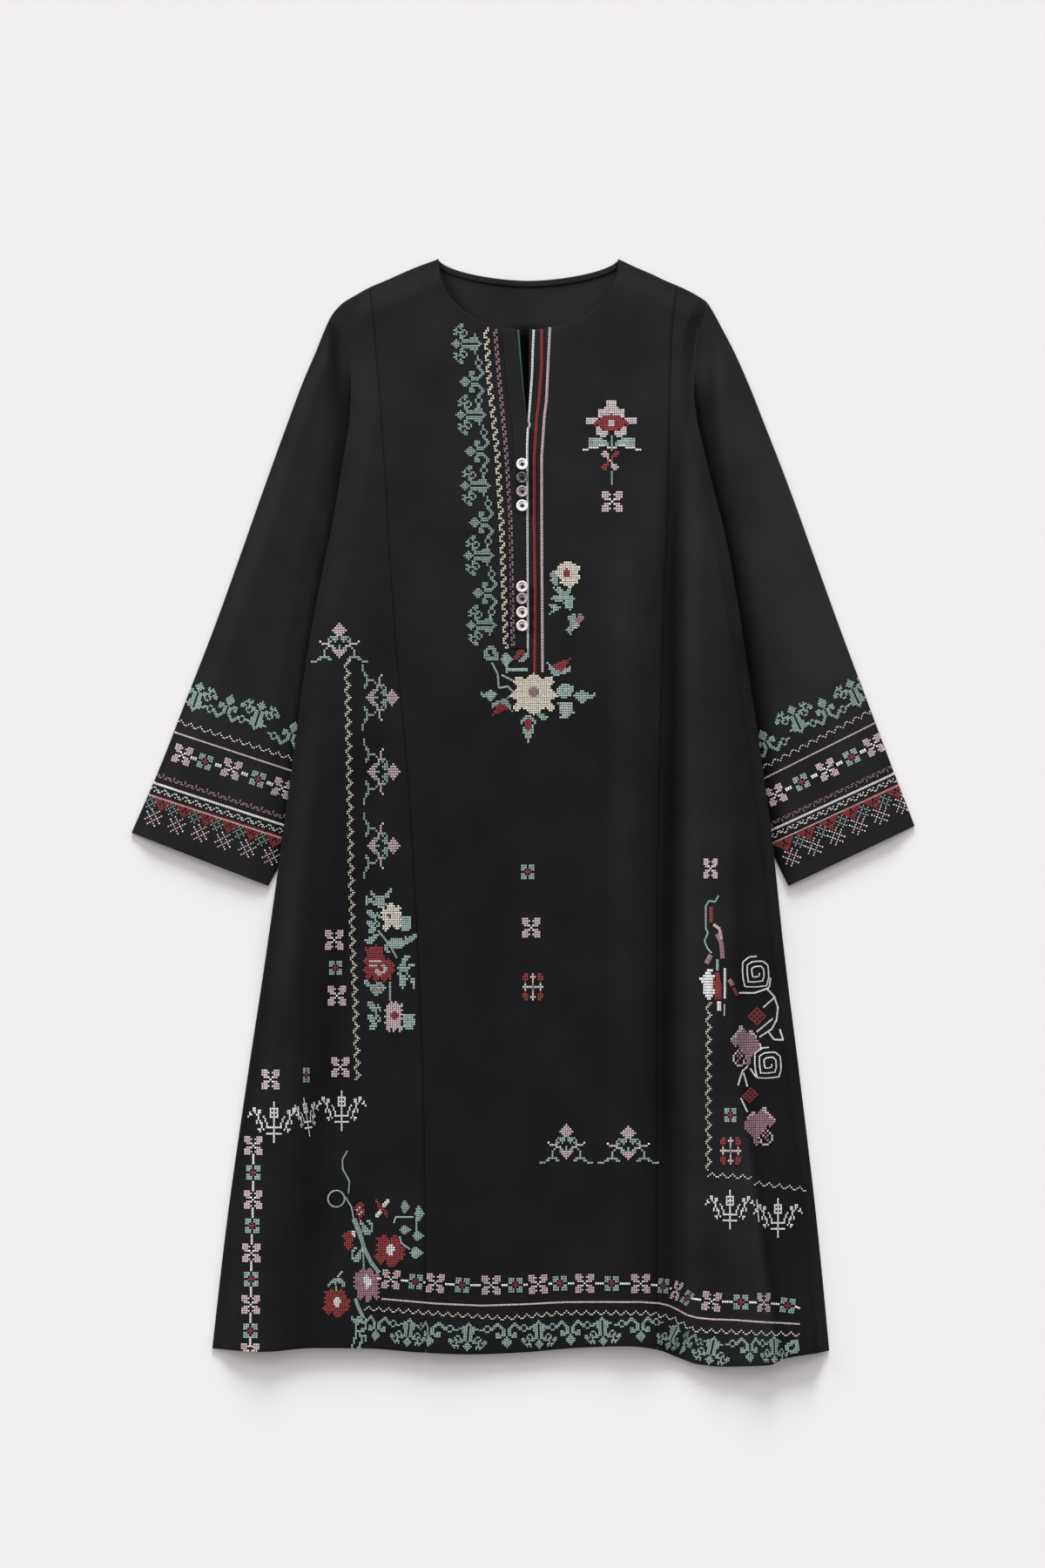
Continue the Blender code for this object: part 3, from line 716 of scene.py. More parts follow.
buttons = {
    "radius": 6.0,
    "thick": 2.4,
    "hole": 0.85,
    "reach": 1.4,
    "thread": 0.75,
    "across": -6.4,
    "profile": (  # share of the radius, share of the thickness
        (0, 0), (0.7, 0), (0.9, 0.12), (1.0, 0.4), (0.99, 0.7), (0.93, 0.92), (0.85, 1.0),
        (0.76, 0.94), (0.68, 0.74), (0.6, 0.68), (0.45, 0.66), (0, 0.64),
    ),
    "rows": (
        (212.4, "pearl"), (226.4, "slate"), (240.6, "smoke"), (255.2, "pearl"),
        (338.9, "rose"), (351.4, "smoke"), (365.4, "rose"), (379.2, "rose"),
    ),
    "shades": {
        "pearl": ((0.72, 0.70, 0.66), (0.86, 0.84, 0.81)),
        "slate": ((0.05, 0.05, 0.053), (0.088, 0.086, 0.089)),
        "smoke": ((0.22, 0.18, 0.20), (0.36, 0.30, 0.32)),
        "rose": ((0.55, 0.46, 0.46), (0.76, 0.68, 0.67)),
    },
}


def shellMaterial(name, shades):
    material, tree, shader = newMaterial(name, 0.28)
    swirl = cloud(tree, onObject(tree), 260, distortion=1.6)
    colour = ramp(tree, swirl, (0.35, 0.65), shades)
    setInputs(tree, shader, {"Base Color": colour, "Coat Weight": 0.4, "Coat Roughness": 0.15})
    return material


def turnedButton():
    radius, thick = buttons["radius"], buttons["thick"]
    bm = bmesh.new()
    chain = [
        bm.verts.new((share * radius * mm, 0, height * thick * mm)) for share, height in buttons["profile"]
    ]
    for below, above in zip(chain, chain[1:]):
        bm.edges.new((below, above))
    bmesh.ops.spin(bm, geom=bm.verts[:] + bm.edges[:], cent=(0, 0, 0), axis=(0, 0, 1),
                   angle=2 * math.pi, steps=40, use_merge=True, use_duplicate=False)
    bmesh.ops.remove_doubles(bm, verts=bm.verts, dist=0.01 * mm)
    bmesh.ops.recalc_face_normals(bm, faces=bm.faces)
    return bm


def holePins():
    bm = bmesh.new()
    hole, reach = buttons["hole"] * mm, buttons["reach"] * mm
    for quarter in range(4):
        turn = math.pi / 2 * quarter
        pin = bmesh.ops.create_cone(bm, cap_ends=True, segments=12, radius1=hole, radius2=hole,
                                    depth=4 * buttons["thick"] * mm)["verts"]
        bmesh.ops.translate(bm, verts=pin, vec=(reach * math.cos(turn), reach * math.sin(turn), 0))
    return bm


def drilledButton():
    shapes = {"blank": turnedButton(), "pins": holePins()}
    blank, pins = [bpy.data.objects.new(name, meshOf(name, bm)) for name, bm in shapes.items()]
    for made in (blank, pins):
        bpy.context.scene.collection.objects.link(made)
    cut = blank.modifiers.new("holes", "BOOLEAN")
    cut.operation, cut.solver, cut.object = "DIFFERENCE", "EXACT", pins
    drilled = bpy.data.meshes.new_from_object(blank.evaluated_get(bpy.context.evaluated_depsgraph_get()))
    for made in (blank, pins):
        bpy.data.objects.remove(made)
    return drilled


def sewingThread():  # a cross of thread between the four holes, and down into them
    bm = bmesh.new()
    reach, width, thick = buttons["reach"] * mm, buttons["thread"] * mm, buttons["thick"] * mm
    for turn in (0.0, math.pi / 2):
        bar = bmesh.ops.create_cone(bm, cap_ends=True, segments=8, radius1=width, radius2=width,
                                    depth=2 * reach + 2 * width)["verts"]
        bmesh.ops.rotate(bm, verts=bar, cent=(0, 0, 0), matrix=Matrix.Rotation(math.pi / 2, 3, "Y"))
        bmesh.ops.rotate(bm, verts=bar, cent=(0, 0, 0), matrix=Matrix.Rotation(turn, 3, "Z"))
        bmesh.ops.translate(bm, verts=bar, vec=(0, 0, 0.7 * thick))
    return bm


buttonMesh = drilledButton()
buttonMaterials = {shade: shellMaterial(f"{shade}Shell", pair) for shade, pair in buttons["shades"].items()}
blackThread = wovenMaterial("buttonThread", ((0.006, 0.006, 0.007), (0.012, 0.012, 0.013)), 0.8, 0.0, 3000)
for number, (drop, shade) in enumerate(buttons["rows"], 1):
    seat = frontFace(buttons["across"], drop) + 2 * cloth["seamGap"] + opening["bandWall"]
    move = Matrix.Translation(toFrame(buttons["across"], drop, seat))
    turned = move @ Matrix.Rotation(0.35 * math.sin(2.3 * number), 4, "Z")
    bm = bmesh.new()
    bm.from_mesh(buttonMesh)
    bmesh.ops.transform(bm, verts=bm.verts, matrix=turned)
    newPiece(f"button{number}", bm, buttonMaterials[shade], [f"button_{number}"])
    bm = sewingThread()
    bmesh.ops.transform(bm, verts=bm.verts, matrix=turned)
    newPiece(f"buttonThread{number}", bm, blackThread)
print("buttons sewn on")


# Embroidery in cross stitch. A chart's rows are parted by spaces, and one letter is one stitch, in the colour
# that the letter names. The rows of halfCharts run from the middle column outwards, and are mirrored.

stitch = {"bar": 0.6, "wide": 0.27, "thick": 0.3, "low": 0.12, "high": 0.38, "cell": (2.1, 2.25)}
threadColours = {
    "t": ("teal", (0.28, 0.37, 0.345)),
    "T": ("paleTeal", (0.34, 0.44, 0.41)),
    "c": ("ecru", (0.68, 0.63, 0.53)),
    "p": ("dustyPink", (0.55, 0.43, 0.44)),
    "m": ("mauve", (0.295, 0.175, 0.205)),
    "r": ("red", (0.25, 0.032, 0.038)),
    "g": ("palePink", (0.57, 0.51, 0.51)),
    "w": ("white", (0.73, 0.72, 0.72)),
}

halfCharts = {
    "palmette": (
        "t tt .ttt .ttttt .ttt .ttt .tt .tt..tt .tt.t..t .tttt.tt.tt t..tttt.ttt tt....t..t ttt..tttt "
        "tt...t.t t"
    ),
    "scrolls": (
        "....tt ...tttt..tt ..tt..ttt..t .tt....tt..ttt .tt......tt .tt.tt .ttttt t..ttt tt ttt ttt tt t"
    ),
    "triangle": "rrrrrr .rrrrr .rrrr r.rr rrr rr r",
    "lotus": (
        "p pp ppp pppp ppp pp .tttt .ttt.t ..t.tt...w .....pppp t..ppp t.tt..t pppt...t ppp....t "
        "pp.....t p....ttttt ....tt...tt ...........ttt"
    ),
    "candelabra": (
        "w w w www........ww w.w.....ww.ww www.....ww.w..w w.w......ww..ww www...w..w.....w w....w...w "
        "w....w..w.w w...w..ww.w w...w..w wwwww..w w.....w.ww w.......w wwwww w w w w"
    ),
    "crown": (
        "ggg ggg ggg gggg ggggggg ggggggg rgggggg rrrrrgg rrrrrr.gggggg ggrrrrrrggggg ggrrrrrrrgggg "
        "ggrrrrr.r rrrrrrgg rrrr.ggg ..gggggg ..gggggg ...ggg"
    ),
    "crownLeaves": "t t....tTTTTtt t..tTTTTTTtt t.tTTTTTTTtt t.ttcccttttt tcc....ccccc t...........ccc",
    "star": (
        "c ccc cccc..cccc cccccccccc ccccccccccc cccccccccc ccccccccc mmccccccc mmmccccccc mmmcccccccc "
        "mmmccccccccc mmccccccccccc ccccccccccc ccccccccc ccccccccc cccccccccc ccccccccccc cccccc.cccc "
        "cccc....cc ccc c"
    ),
    "cross": "..ppp .pppp ..ppp .wpp w .wpp ..ppp .pppp ..ppp",
    "latticeRosette": "g..rr pp.rrr g..rrr p...r m...g mppgpg m...g p...r g..rrr pp.rrr g..rr",
    "lattice": "rrrr .r.r rrrr .r.r rrrr .r.r rrrr",
    "zigzag": "c .c ..c",
    "diamond": ".t t .t.t ..t .t.t t .t",
}
wholeCharts = {
    "halfScroll": "...tttt .tttttt tttt.tt tt...tt tt..ttt .tttttt ..tttt",
    "rosette": "ttt.ttt tTt.ttt tt.r.tt ..rrr tt.r.tt ttt.tTt ttt.ttt",
    "steepZigzag": "c cc...c .cc.cc ..cc",
    "lowZigzag": "cc .cc.c ..ccc",
    "peaks": "...m mm.m.m .mm.mm",
    "twist": ".cw w..wc ..c.cw",
    "dots": "mm .mm",
    "crosslet": "..w...p ...p.p w...p...p .p.p.p.p ..w...w .p.p.p.p p...p...w ...p.p ..p...w",
    "quad": ".pp....rr pppp..rrr .ppp.rrr ...p.r ...rwr ...r.p .rrr.ppp rrr..pppp .rr...pp",
    "roundFlower": (
        "....cccc ..cccccccc .ccccccccccc .ccccrcccccc ccccrrrcccc ccccrrrcccc .cccrrrccccc ..cccccccccc "
        "...cccccccc ..ccccccccc ....ccccc ......cc"
    ),
    "curlLeaf": "..tt .ttt .tttt ..ttt .tttt ..ttt ...tt",
    "leafSpray": (
        "..t.tt....t ...ttTt..tt ....tTTtttt .....tttTt ..tttTTTTTtt .ttTTTtTTTTtt. ...tttt.TTTt "
        ".......tTTTt tttt....TTtt .tTTtt..tTTt ..tTt.....t .tt t"
    ),
    "nodding": "...tt.mm .tttt.mmm .ttTtmmmm ..tTtmmm ..tttpm ..ttppt .tttpt tttt .tt ..t",
    "bud": (
        "..........r .......rrr t....rrrrr .t.rrrrrr .ttrrrrrr.T .tttrrrrtTT ..ttttrtTTt ..tttttTt "
        "...ttt ..t"
    ),
    "smallBud": "..rrr.t .rrrr.t .rrrrtt rrr.ttt rr.ttt ..ttt",
    "hangingBud": "..ttt .ttrtt ttrrrtt t.rrr.t ..rrrt .trrrt .ttrtt .ttTtt ..tTt ..tTt ...t ...T",
    "paleLeaf": "..TTTT .TTtTTTT TTTTTTtT TTtTTTTT TTTTtTT .TTTTTT ..ttt",
    "pinkLeaf": "tTTTTTt .tTpTTt .TpTpTT .tTpTTt .tTTpTtT ..TpTT .TTpt",
    "pointedLeaf": "...tt .tttttt..t tTTtpTtttt .tTTTTttt ..tttt ...tt",
    "smallLeaf": "ttt .tTtt ..tTttt ...ttt",
    "antlers": "..........t ..t......tt ..tt....tt t..ttttttt ttt.tttt tttttTtt t..tttttt .....ttt",
    "bloom": (
        "....cc ...cccc.c .c.ccccccc .cccccccc cccccccccc .ccrrccccc ccccrcccc .ccccccccc ..ccccccc "
        "..cccccccc .cccc.cccc .ccc...cc ..c"
    ),
    "pinkBloom": (
        "...p.p ..ppppp.p .pppppppp .ppppppp ppppppppp .ppprrpp .pprrrrpp ppprrrrp .ppprrppp .ppppppp "
        "pppppppp .ppppppp .pppppppp .pp.pp.pp ..p.p..p"
    ),
    "rose": (
        "......r .r.rrrrrrr .rrrrrrrrr ..rrrrrrrr ..rrrrrrrr ..rrrrrrrrr .rrrrrrrrrr.r rrrpppppprrrrr "
        ".rrrrrrrrrrrrrr ..rpppprrpprrrrr .rrrrrrrrrpprrr rrrrrrpprrpprrrr .rrrrrppppprrrr "
        "..rrrrrpprrrrr .rrr.rrrrrrrrr ..r..rrr.rrr.r ......r...r"
    ),
    "leafFan": (
        "..............tt ..........t.tttt ...tttttt.ttttt ..tTTTTTTttttt .tTTTTTTTTtt tttTTTTTTt "
        "tt.tttttt tt .tt"
    ),
    "darkBud": "tt ttt...ttt .ttttttmtt ...ttmtpmtt. ...tmtmtmt ....ttttt .....tt",
    "leafPair": "ttt tttt.t .tTtttt.. ..ttt.t ....t ttt.tt tTttt.t .ttt.tt ..tTt .tTTt .ttt",
    "paleBlock": "tTTTTT .TTTTT tTTtTT TTTTTT TtTTTt .TTTTT .tTTt",
    "forkedStem": (
        "....ttt ...tTt ...tt ..ttt.tTt .ttTttt ..tttt .tt..t ..TTt.t ..TTTt.tt ..TTt..tp ..tTt...t "
        "...t....t"
    ),
    "redFlower": (
        "....rr...rr .rrrrrr.rrrr ..rrrrrrrrrr ..rrrrrrrrrrr .rrrrrrwwrrrr ..rrrrwwwwrrrrr "
        ".rrrrrwwwwrrrrr ..rrrrwwwrrrrr .rrrrrrwwrrrrrr rrrrrrrrrrrrrr .rrrrrrrrrrrrr ..rrr.rrrrrr "
        "...r..rrrrr .......rrr"
    ),
    "halfFlower": "...rrww .rrrrww rrrrrrw .rrrrr ..rrrr .rrrr .rrrrr ..rrr ...r",
    "tallBud": "..rr .rrrr rrpr rprrr .rrpr .rprr ..rr ..r",
    "splitCross": "r.....ww rr...www .rr.www .rrrww ..rrr ..wrrr .www.rr www..rr ww....r",
    "mauveFlower": (
        "....mm.mm ...mmmmmmm .mmmmmmmmm.m .mmmmmwmmmmmm mmmmmwwwmmmm .mmmmwwwwmmmm mmmmmwwwwmmm "
        ".mmmmmwwwmmmm mmmmmmwwmmmm .mmmmmwmmmmmm ..mmmmmmmmmm ..mmmmmmmmmmm ..mmmmmmmmmm ..mmm.mmm.mmm "
        "...m..mmm..m ......mm"
    ),
    "wingedFlower": (
        "....pp ....ppm ...ppmmm.pp ..pmmmmmmmpp .ppmmmmmmmmmp pmmmmmmmmmmmm mmmmmmmmmmmmmm. "
        ".mmmmmmmmmmmmm ..m.mmmmmmmmmm ....mmmmmmmmmm ...p.pmmmmmmm ..p.m.mmmmmm .p.m.p.mmmm .p..m..pmm "
        ".p.m..p.mm ..p...pmmm ...ppp..m"
    ),
    "arch": "...tTTTt ..tttTttt .tttt.tttt. tt..t...tt t.......tt",
    "leaf": "..tt .tttt .tTTtt tTTTttt .tTTtt .tttt ..tt",
    "hooks": (
        "t..tt tttttt.t. .tTttttt ..tt...t ..t....t ..t..ttt ..ttttt ..t.t ..t.tttt .tt..t.t .t...t.t "
        ".t..tt t...t t..tt"
    ),
    "hooked": ".t..tt .tt..tt ..tt..t ..ttt.t ..ttttt ...ttt",
    "halfCrown": (
        "....www ...www ..wwwwww wwwwwwwr .wwwwwwrr ..wwwwwrr ..wwwwwrrr ..wwwwwwrr ..wwwwwwrr "
        "...wwww.rr ....ww..r"
    ),
}


def evened(chart, mirrored):
    rows = [row[:0:-1] + row if mirrored else row for row in chart.split()]
    width = max(len(row) for row in rows)
    return [row.center(width, ".") if mirrored else row.ljust(width, ".") for row in rows]


charts = {name: evened(chart, name in halfCharts) for name, chart in {**halfCharts, **wholeCharts}.items()}
stitches = {}  # by colour and cloth, the place of each stitch and its two sides, in mm


def sew(name, spot, cell=stitch["cell"], turn=0.0, flip=False, onto="front", leftHalf=1.0, fine=1.0):
    chart = charts.get(name, [name])
    turn = math.radians(turn)
    sideways = Vector((math.cos(turn), math.sin(turn))) * cell[0]
    downwards = Vector((-math.sin(turn), math.cos(turn))) * cell[1]
    middleColumn, middleRow = (len(chart[0]) - 1) / 2, (len(chart) - 1) / 2
    for down, row in enumerate(chart):
        for along, letter in enumerate(row[::-1] if flip else row):
            if letter != ".":
                away = along - middleColumn
                side = sideways * (leftHalf if away < 0 else 1.0)
                place = Vector(spot) + side * away + downwards * (down - middleRow)
                stitches.setdefault((letter, onto), []).append((*place, *(side * fine), *(downwards * fine)))


def sewEach(*rows):  # name, across, drop, width and height of a cell, turn, flip
    for name, across, drop, *rest in rows:
        sew(name, (across, drop), rest[:2] or stitch["cell"], *rest[2:])


def onLine(line, way):  # the place and the direction at a distance along a line of points
    for start, end in zip(line, line[1:]):
        side = Vector(end) - Vector(start)
        if way <= side.length or end == line[-1]:
            return Vector(start) + side.normalized() * way, math.degrees(math.atan2(side.y, side.x))
        way -= side.length


def sewAlong(name, line, cell, onto="front", fine=1.0):
    chart = charts.get(name, [name])
    length = sum((Vector(b) - Vector(a)).length for a, b in zip(line, line[1:]))
    count = max(1, round(length / cell[0]))
    for number in range(count):
        spot, turn = onLine(line, (number + 0.5) * length / count)
        aside = Vector((-math.sin(math.radians(turn)), math.cos(math.radians(turn)))) * cell[1]
        for down, row in enumerate(chart):
            letter = row[number % len(row)]
            if letter != ".":
                sew(letter, spot + aside * (down - (len(chart) - 1) / 2), cell, turn, False, onto, fine=fine)


def sewLines(*rows, fine=1.0):  # name, width and height of a cell, points
    for name, wide, high, *line in rows:
        sewAlong(name, line, (wide, high), fine=fine)


def dropOn(line, across):  # the place and the slope where a line crosses an across
    for (a, b), (c, d) in zip(line, line[1:]):
        if a <= across <= c:
            return (across, lerp(b, d, (across - a) / (c - a))), math.degrees(math.atan2(d - b, c - a))


# Front opening: a vine, two zigzags and three straight rows

for spot in ((-63.7, 88.2), (-59.2, 161.6), (-54.7, 234.9), (-51.1, 306.9), (-48.4, 378.9)):
    sew("palmette", spot, (2.0, 2.15), 90)
for spot in ((-58.3, 127.4), (-52.9, 199.3), (-48.4, 272.7), (-44.8, 345.6)):
    sew("scrolls", spot, (2.05, 2.0), 90)
sew("halfScroll", (-38.5, 407.7), (2.2, 2.2), 90)
sewLines(
    ("lowZigzag", 2.35, 2.1, (-43.9, 71.1), (-40.3, 126), (-32.2, 198.9), (-27.7, 272.7), (-25, 345.6),
     (-23.2, 403.2)),
    ("dots", 2.5, 2.3, (-34.5, 72.9), (-29.9, 126), (-23.6, 191.7), (-18.7, 262.8), (-16.9, 345.6),
     (-16, 400.5)),
    fine=0.94,
)
sewLines(
    ("w", 2.4, 2.8, (5.6, 71.1), (4.7, 92.7), (3.8, 119.7), (1.5, 151.2), (-0.7, 178.2), (-1.4, 196.2),
     (-1, 308.7), (-0.7, 403.2)),
    ("r", 2.0, 3.7, (13.7, 71.1), (13.7, 110.7), (11, 146.7), (8.7, 164.7), (5.9, 206.1), (5.9, 268.2),
     (6.8, 344.7), (6.5, 430.2)),
    ("p", 2.4, 3.3, (22.2, 71.1), (18.6, 146.7), (16.4, 164.7), (13.7, 206.1), (13.7, 268.2), (14.6, 427.5)),
)

# Flowers on the chest

sewEach(
    ("crown", 85.7, 165.6), ("crownLeaves", 86.3, 190.8), ("quad", 84.3, 208.8),
    ("cross", 86.6, 251.1, 2.4, 2.4), ("roundFlower", 40.7, 326.7, 2.15, 2.3), ("curlLeaf", 25.4, 330.3),
    ("leafSpray", 35.7, 353.7), ("nodding", 47.9, 378),
)
sewLines(("t", *stitch["cell"], (86.3, 219.6), (86.3, 234)))

# The large star and what grows round it

sewEach(
    ("star", 5.6, 450, 2.05, 2.1), ("bud", 31.2, 423, 2.3, 2.1), ("smallBud", -7, 409.9, 2.2, 2.3),
    ("bud", -26.8, 462.6, 2.0, 2.0, 180), ("hangingBud", -0.1, 486, 2.3, 2.4),
    ("paleLeaf", 38, 446.9, 2.2, 2.2), ("pointedLeaf", 57.8, 452.7, 2.3, 2.3),
    ("pinkLeaf", 38.9, 466.7, 2.3, 2.4), ("smallLeaf", 13.7, 472.5, 2.0, 2.2),
    ("pointedLeaf", -40.8, 451.4, 1.7, 2.0, 0, True), ("leaf", -22.3, 414, 1.9, 1.9),
)
sewLines(
    ("t", 2.1, 3.0, (-22.3, 418.5), (-22.3, 428.4)), ("T", 2.1, 4.0, (-21.4, 424.8), (-0.7, 424.8)),
    ("t", 2.2, 2.4, (-37.8, 417.3), (-31.6, 429.3), (-30.6, 443.7), (-21.4, 441.9), (-14.2, 449.1)),
    ("t", 2.2, 2.4, (-27.7, 430.2), (-14.2, 436.9)),
)

# Right skirt front: a lotus over a long zigzag, three turned lotuses, and flowers below them

for spot in ((-152.8, 453.6), (-151.4, 530.1), (-151.4, 606.6)):
    sew("lotus", spot, (2.55, 2.15), 90)
for spot in ((-200.5, 703.8), (-197.8, 761.4), (-194.2, 835.2), (-266.2, 847.8)):
    sew("cross", spot, (2.1, 2.3))
sewEach(
    ("lotus", -195.1, 396.9, 2.2, 2.3), ("antlers", -154.6, 660.6, 2.5, 2.6),
    ("bloom", -142, 680.4, 2.2, 2.3), ("paleBlock", -127.2, 687.1, 2.0, 2.2),
    ("leafPair", -158.2, 684.9, 2.0, 2.2), ("smallLeaf", -161.8, 702.9, 2.2, 2.6, 0, True),
    ("leafFan", -132.1, 707.4, 2.1, 2.2), ("rose", -154.2, 728.1, 2.1, 2.3),
    ("forkedStem", -127.6, 737.1, 2.3, 2.9), ("darkBud", -157.3, 753.3, 2.1, 2.4),
    ("pinkBloom", -139.3, 783, 2.15, 2.15), ("paleBlock", -123.1, 788.4, 2.1, 2.3, 0, True),
    ("leafPair", -157.3, 782.1, 2.0, 2.7), ("rosette", -199.2, 732.6, 1.9, 2.1),
    ("rosette", -229.3, 843.3, 0.95, 2.2), ("candelabra", -262.6, 891.9, 1.8, 2.15),
    ("candelabra", -228.9, 886.5, 0.85, 2.05, -9), ("candelabra", -192.9, 880.2, 1.65, 2.1),
)
sewLines(
    ("steepZigzag", 2.1, 1.9, (-187, 414.9), (-183.4, 596.7), (-181.6, 703.8), (-178.4, 772.2),
     (-176.2, 848.7)),
    fine=0.86,
)
sewLines(
    ("t", 2.1, 2.4, (-155.5, 693.9), (-143.8, 708.3), (-135.7, 722.7)),
    ("T", 2.1, 2.4, (-142.9, 747), (-142.9, 766.8)),
)

# Border up the right side: crosses and rosettes joined by bars

sideBorder = {
    "cross": ((-284.2, 916.2), (-284.4, 972), (-286, 1026.9), (-286.6, 1080), (-287.1, 1129.5)),
    "rosette": ((-284.2, 944.1), (-285.1, 999), (-286.2, 1053.9), (-286.9, 1107)),
}
halfBar = Vector((0, 5.4))
for name, spots in sideBorder.items():
    for spot in spots:
        sew(name, spot, (2.15, 2.15))
ways = sorted(sum(sideBorder.values(), ()), key=lambda spot: spot[1])
for above, below in zip(ways, ways[1:]):
    midway = Vector(above).lerp(Vector(below), 0.5)
    sewLines(("w", 2.2, 2.6, midway - halfBar, midway + halfBar))

# Flowers in the lower right corner

curl = {"centre": Vector((-198.4, 971.1)), "reach": 8.6, "steps": 20, "perRadian": 3}
sewEach(
    ("tallBud", -174.6, 983.7, 2.2, 2.3), ("hooked", -168.6, 1000.8, 2.3, 2.6),
    ("hooked", -175.8, 1028.7, 2.0, 2.6, 0, True), ("halfFlower", -185.7, 1014.3, 2.0, 2.3),
    ("redFlower", -143.4, 1025.1, 2.2, 2.35), ("splitCross", -150.8, 981, 1.8, 2.1),
    ("leaf", -127.1, 979.6, 1.4, 1.9), ("leaf", -112.6, 986.4, 1.5, 2.3),
    ("leaf", -127.1, 1003.2, 1.8, 1.3), ("leaf", -113.7, 1009.4, 1.8, 1.4),
    ("leaf", -115.6, 1026.9, 2.1, 1.7), ("mauveFlower", -167.2, 1060.2, 2.1, 2.2),
    ("redFlower", -198.4, 1078.7, 1.95, 2.1), ("arch", -197.3, 1057.5, 1.8, 1.8),
    ("hooks", -174, 1108.8, 2.0, 2.4),
)
sewLines(
    ("t", 2.1, 6.0, (-180.4, 991.8), (-175.8, 1002.6), (-172.5, 1012.5)),
    ("t", 2.1, 5.0, (-172.5, 1012.5), (-169.4, 1022.9), (-162.2, 1037.3), (-153.9, 1047.6)),
    ("t", 2.1, 2.1, (-170.8, 1022.4), (-169.9, 1042.2)), ("t", 2.1, 2.1, (-198.4, 1061.1), (-198.4, 1066.5)),
    ("T", 2.0, 2.0, (-197.3, 1052.1), (-192, 1045.8)),
    ("t", 2.1, 4.4, (-178.5, 1073.7), (-176.2, 1081.8), (-170.8, 1092.6)),
    ("T", 1.8, 1.8, (-187, 921.6), (-192.1, 930.6), (-191.7, 940.5), (-184.9, 953.1), (-185.9, 965.7)),
    ("T", 1.8, 1.8, (-189, 969.3), (-182.8, 979.6), (-180.4, 991.8)),
    ("T", 1.8, 1.8, *[
        curl["centre"] + Vector((curl["reach"] * math.cos(step / curl["perRadian"]),
                                 curl["reach"] * math.sin(step / curl["perRadian"])))
        for step in range(curl["steps"])
    ]),
    ("T", 1.9, 2.1, (-138.9, 996.3), (-137.1, 990), (-118.6, 990)),
    ("T", 1.9, 2.1, (-115.6, 990), (-115.6, 1007.1)),
    ("T", 1.9, 2.1, (-133, 1009.8), (-131.2, 1017), (-122.2, 1023.3)),
)

# Hem: name, across and width of a cell, and for the palmettes how wide the left half is beside the right one

hemLines = {
    "row": (
        (-156.4, 1053), (-116.3, 1056.6), (-68.2, 1060.2), (-13.3, 1060.2), (32.6, 1058.4), (115.9, 1058.4),
        (139.4, 1061.1), (154.1, 1066.5), (164, 1073.7), (189.2, 1076.9), (242.8, 1077.3), (276.5, 1081.8),
    ),
    "chain": (
        (-151.9, 1074.3), (-96.1, 1079.1), (-46.6, 1081.3), (-6.1, 1080), (38.9, 1077.7), (115.4, 1077.3),
        (135.2, 1078.9), (145.1, 1081.4), (155, 1086.3), (164, 1091.3), (173.9, 1094), (190.1, 1095.3),
        (214.4, 1095.8), (280.1, 1099.8),
    ),
    "zigzag": (
        (-169.9, 1083.6), (-96.1, 1089), (-24.1, 1094.1), (38.9, 1088.5), (124.4, 1088.5), (147.8, 1093.9),
        (171.2, 1106.5), (280.1, 1110.1),
    ),
    "palmettes": (
        (-186.1, 1101.6), (-157.3, 1104.8), (-124, 1108.8), (-62.4, 1113.3), (11, 1111), (76.7, 1107.5),
        (115.9, 1105.7), (148.7, 1113.3), (169.4, 1123.2), (189.2, 1127.5), (253.5, 1125.9), (286.4, 1121.4),
    ),
}
hemMotifs = (
    ("cross", -142, 2.1), ("rosette", -116.3, 2.0), ("cross", -96.1, 2.1), ("rosette", -68.2, 2.1),
    ("cross", -38.5, 2.2), ("rosette", -13.3, 2.1), ("cross", 10.1, 2.2), ("rosette", 32.6, 2.1),
    ("cross", 58.2, 2.2), ("rosette", 86.1, 2.1), ("cross", 115.9, 2.2), ("rosette", 139.4, 1.6),
    ("cross", 153.2, 1.0), ("rosette", 164, 1.3), ("cross", 189.2, 2.2), ("rosette", 219.4, 2.2),
    ("cross", 242.8, 1.5), ("rosette", 267.5, 2.2),
)
hemPalmettes = (
    ("scrolls", -157.3, 1.8, 0.8), ("palmette", -124, 1.75, 1), ("scrolls", -102.9, 2.25, 0.4),
    ("palmette", -62.4, 1.9, 1), ("scrolls", -22.3, 1.9, 1.1), ("palmette", 11, 1.75, 1),
    ("scrolls", 43.4, 1.9, 1), ("palmette", 76.7, 1.8, 1), ("scrolls", 115.9, 1.75, 1.15),
    ("palmette", 149.1, 0.95, 1.6), ("scrolls", 162.2, 1.3, 0.3), ("palmette", 189.2, 1.9, 1),
    ("scrolls", 228.8, 1.35, 1.4), ("palmette", 253.5, 1.35, 1), ("halfScroll", 272, 2.1, 1),
)
bar = {"wide": 2.1, "high": 2.5, "gap": 0.3, "least": 2}  # the gap is in cells of the motif beside it
for name, across, wide in hemMotifs:
    spot, slope = dropOn(hemLines["row"], across)
    sew(name, spot, (wide, 2.2), slope, fine=0.92)
for (first, a, wideA), (second, b, wideB) in zip(hemMotifs, hemMotifs[1:]):
    start = a + wideA * (len(charts[first]) / 2 + bar["gap"])
    end = b - wideB * (len(charts[second]) / 2 + bar["gap"])
    if end - start > bar["least"]:
        ends = [dropOn(hemLines["row"], across)[0] for across in (start, end)]
        sewLines(("w", bar["wide"], bar["high"], *ends))
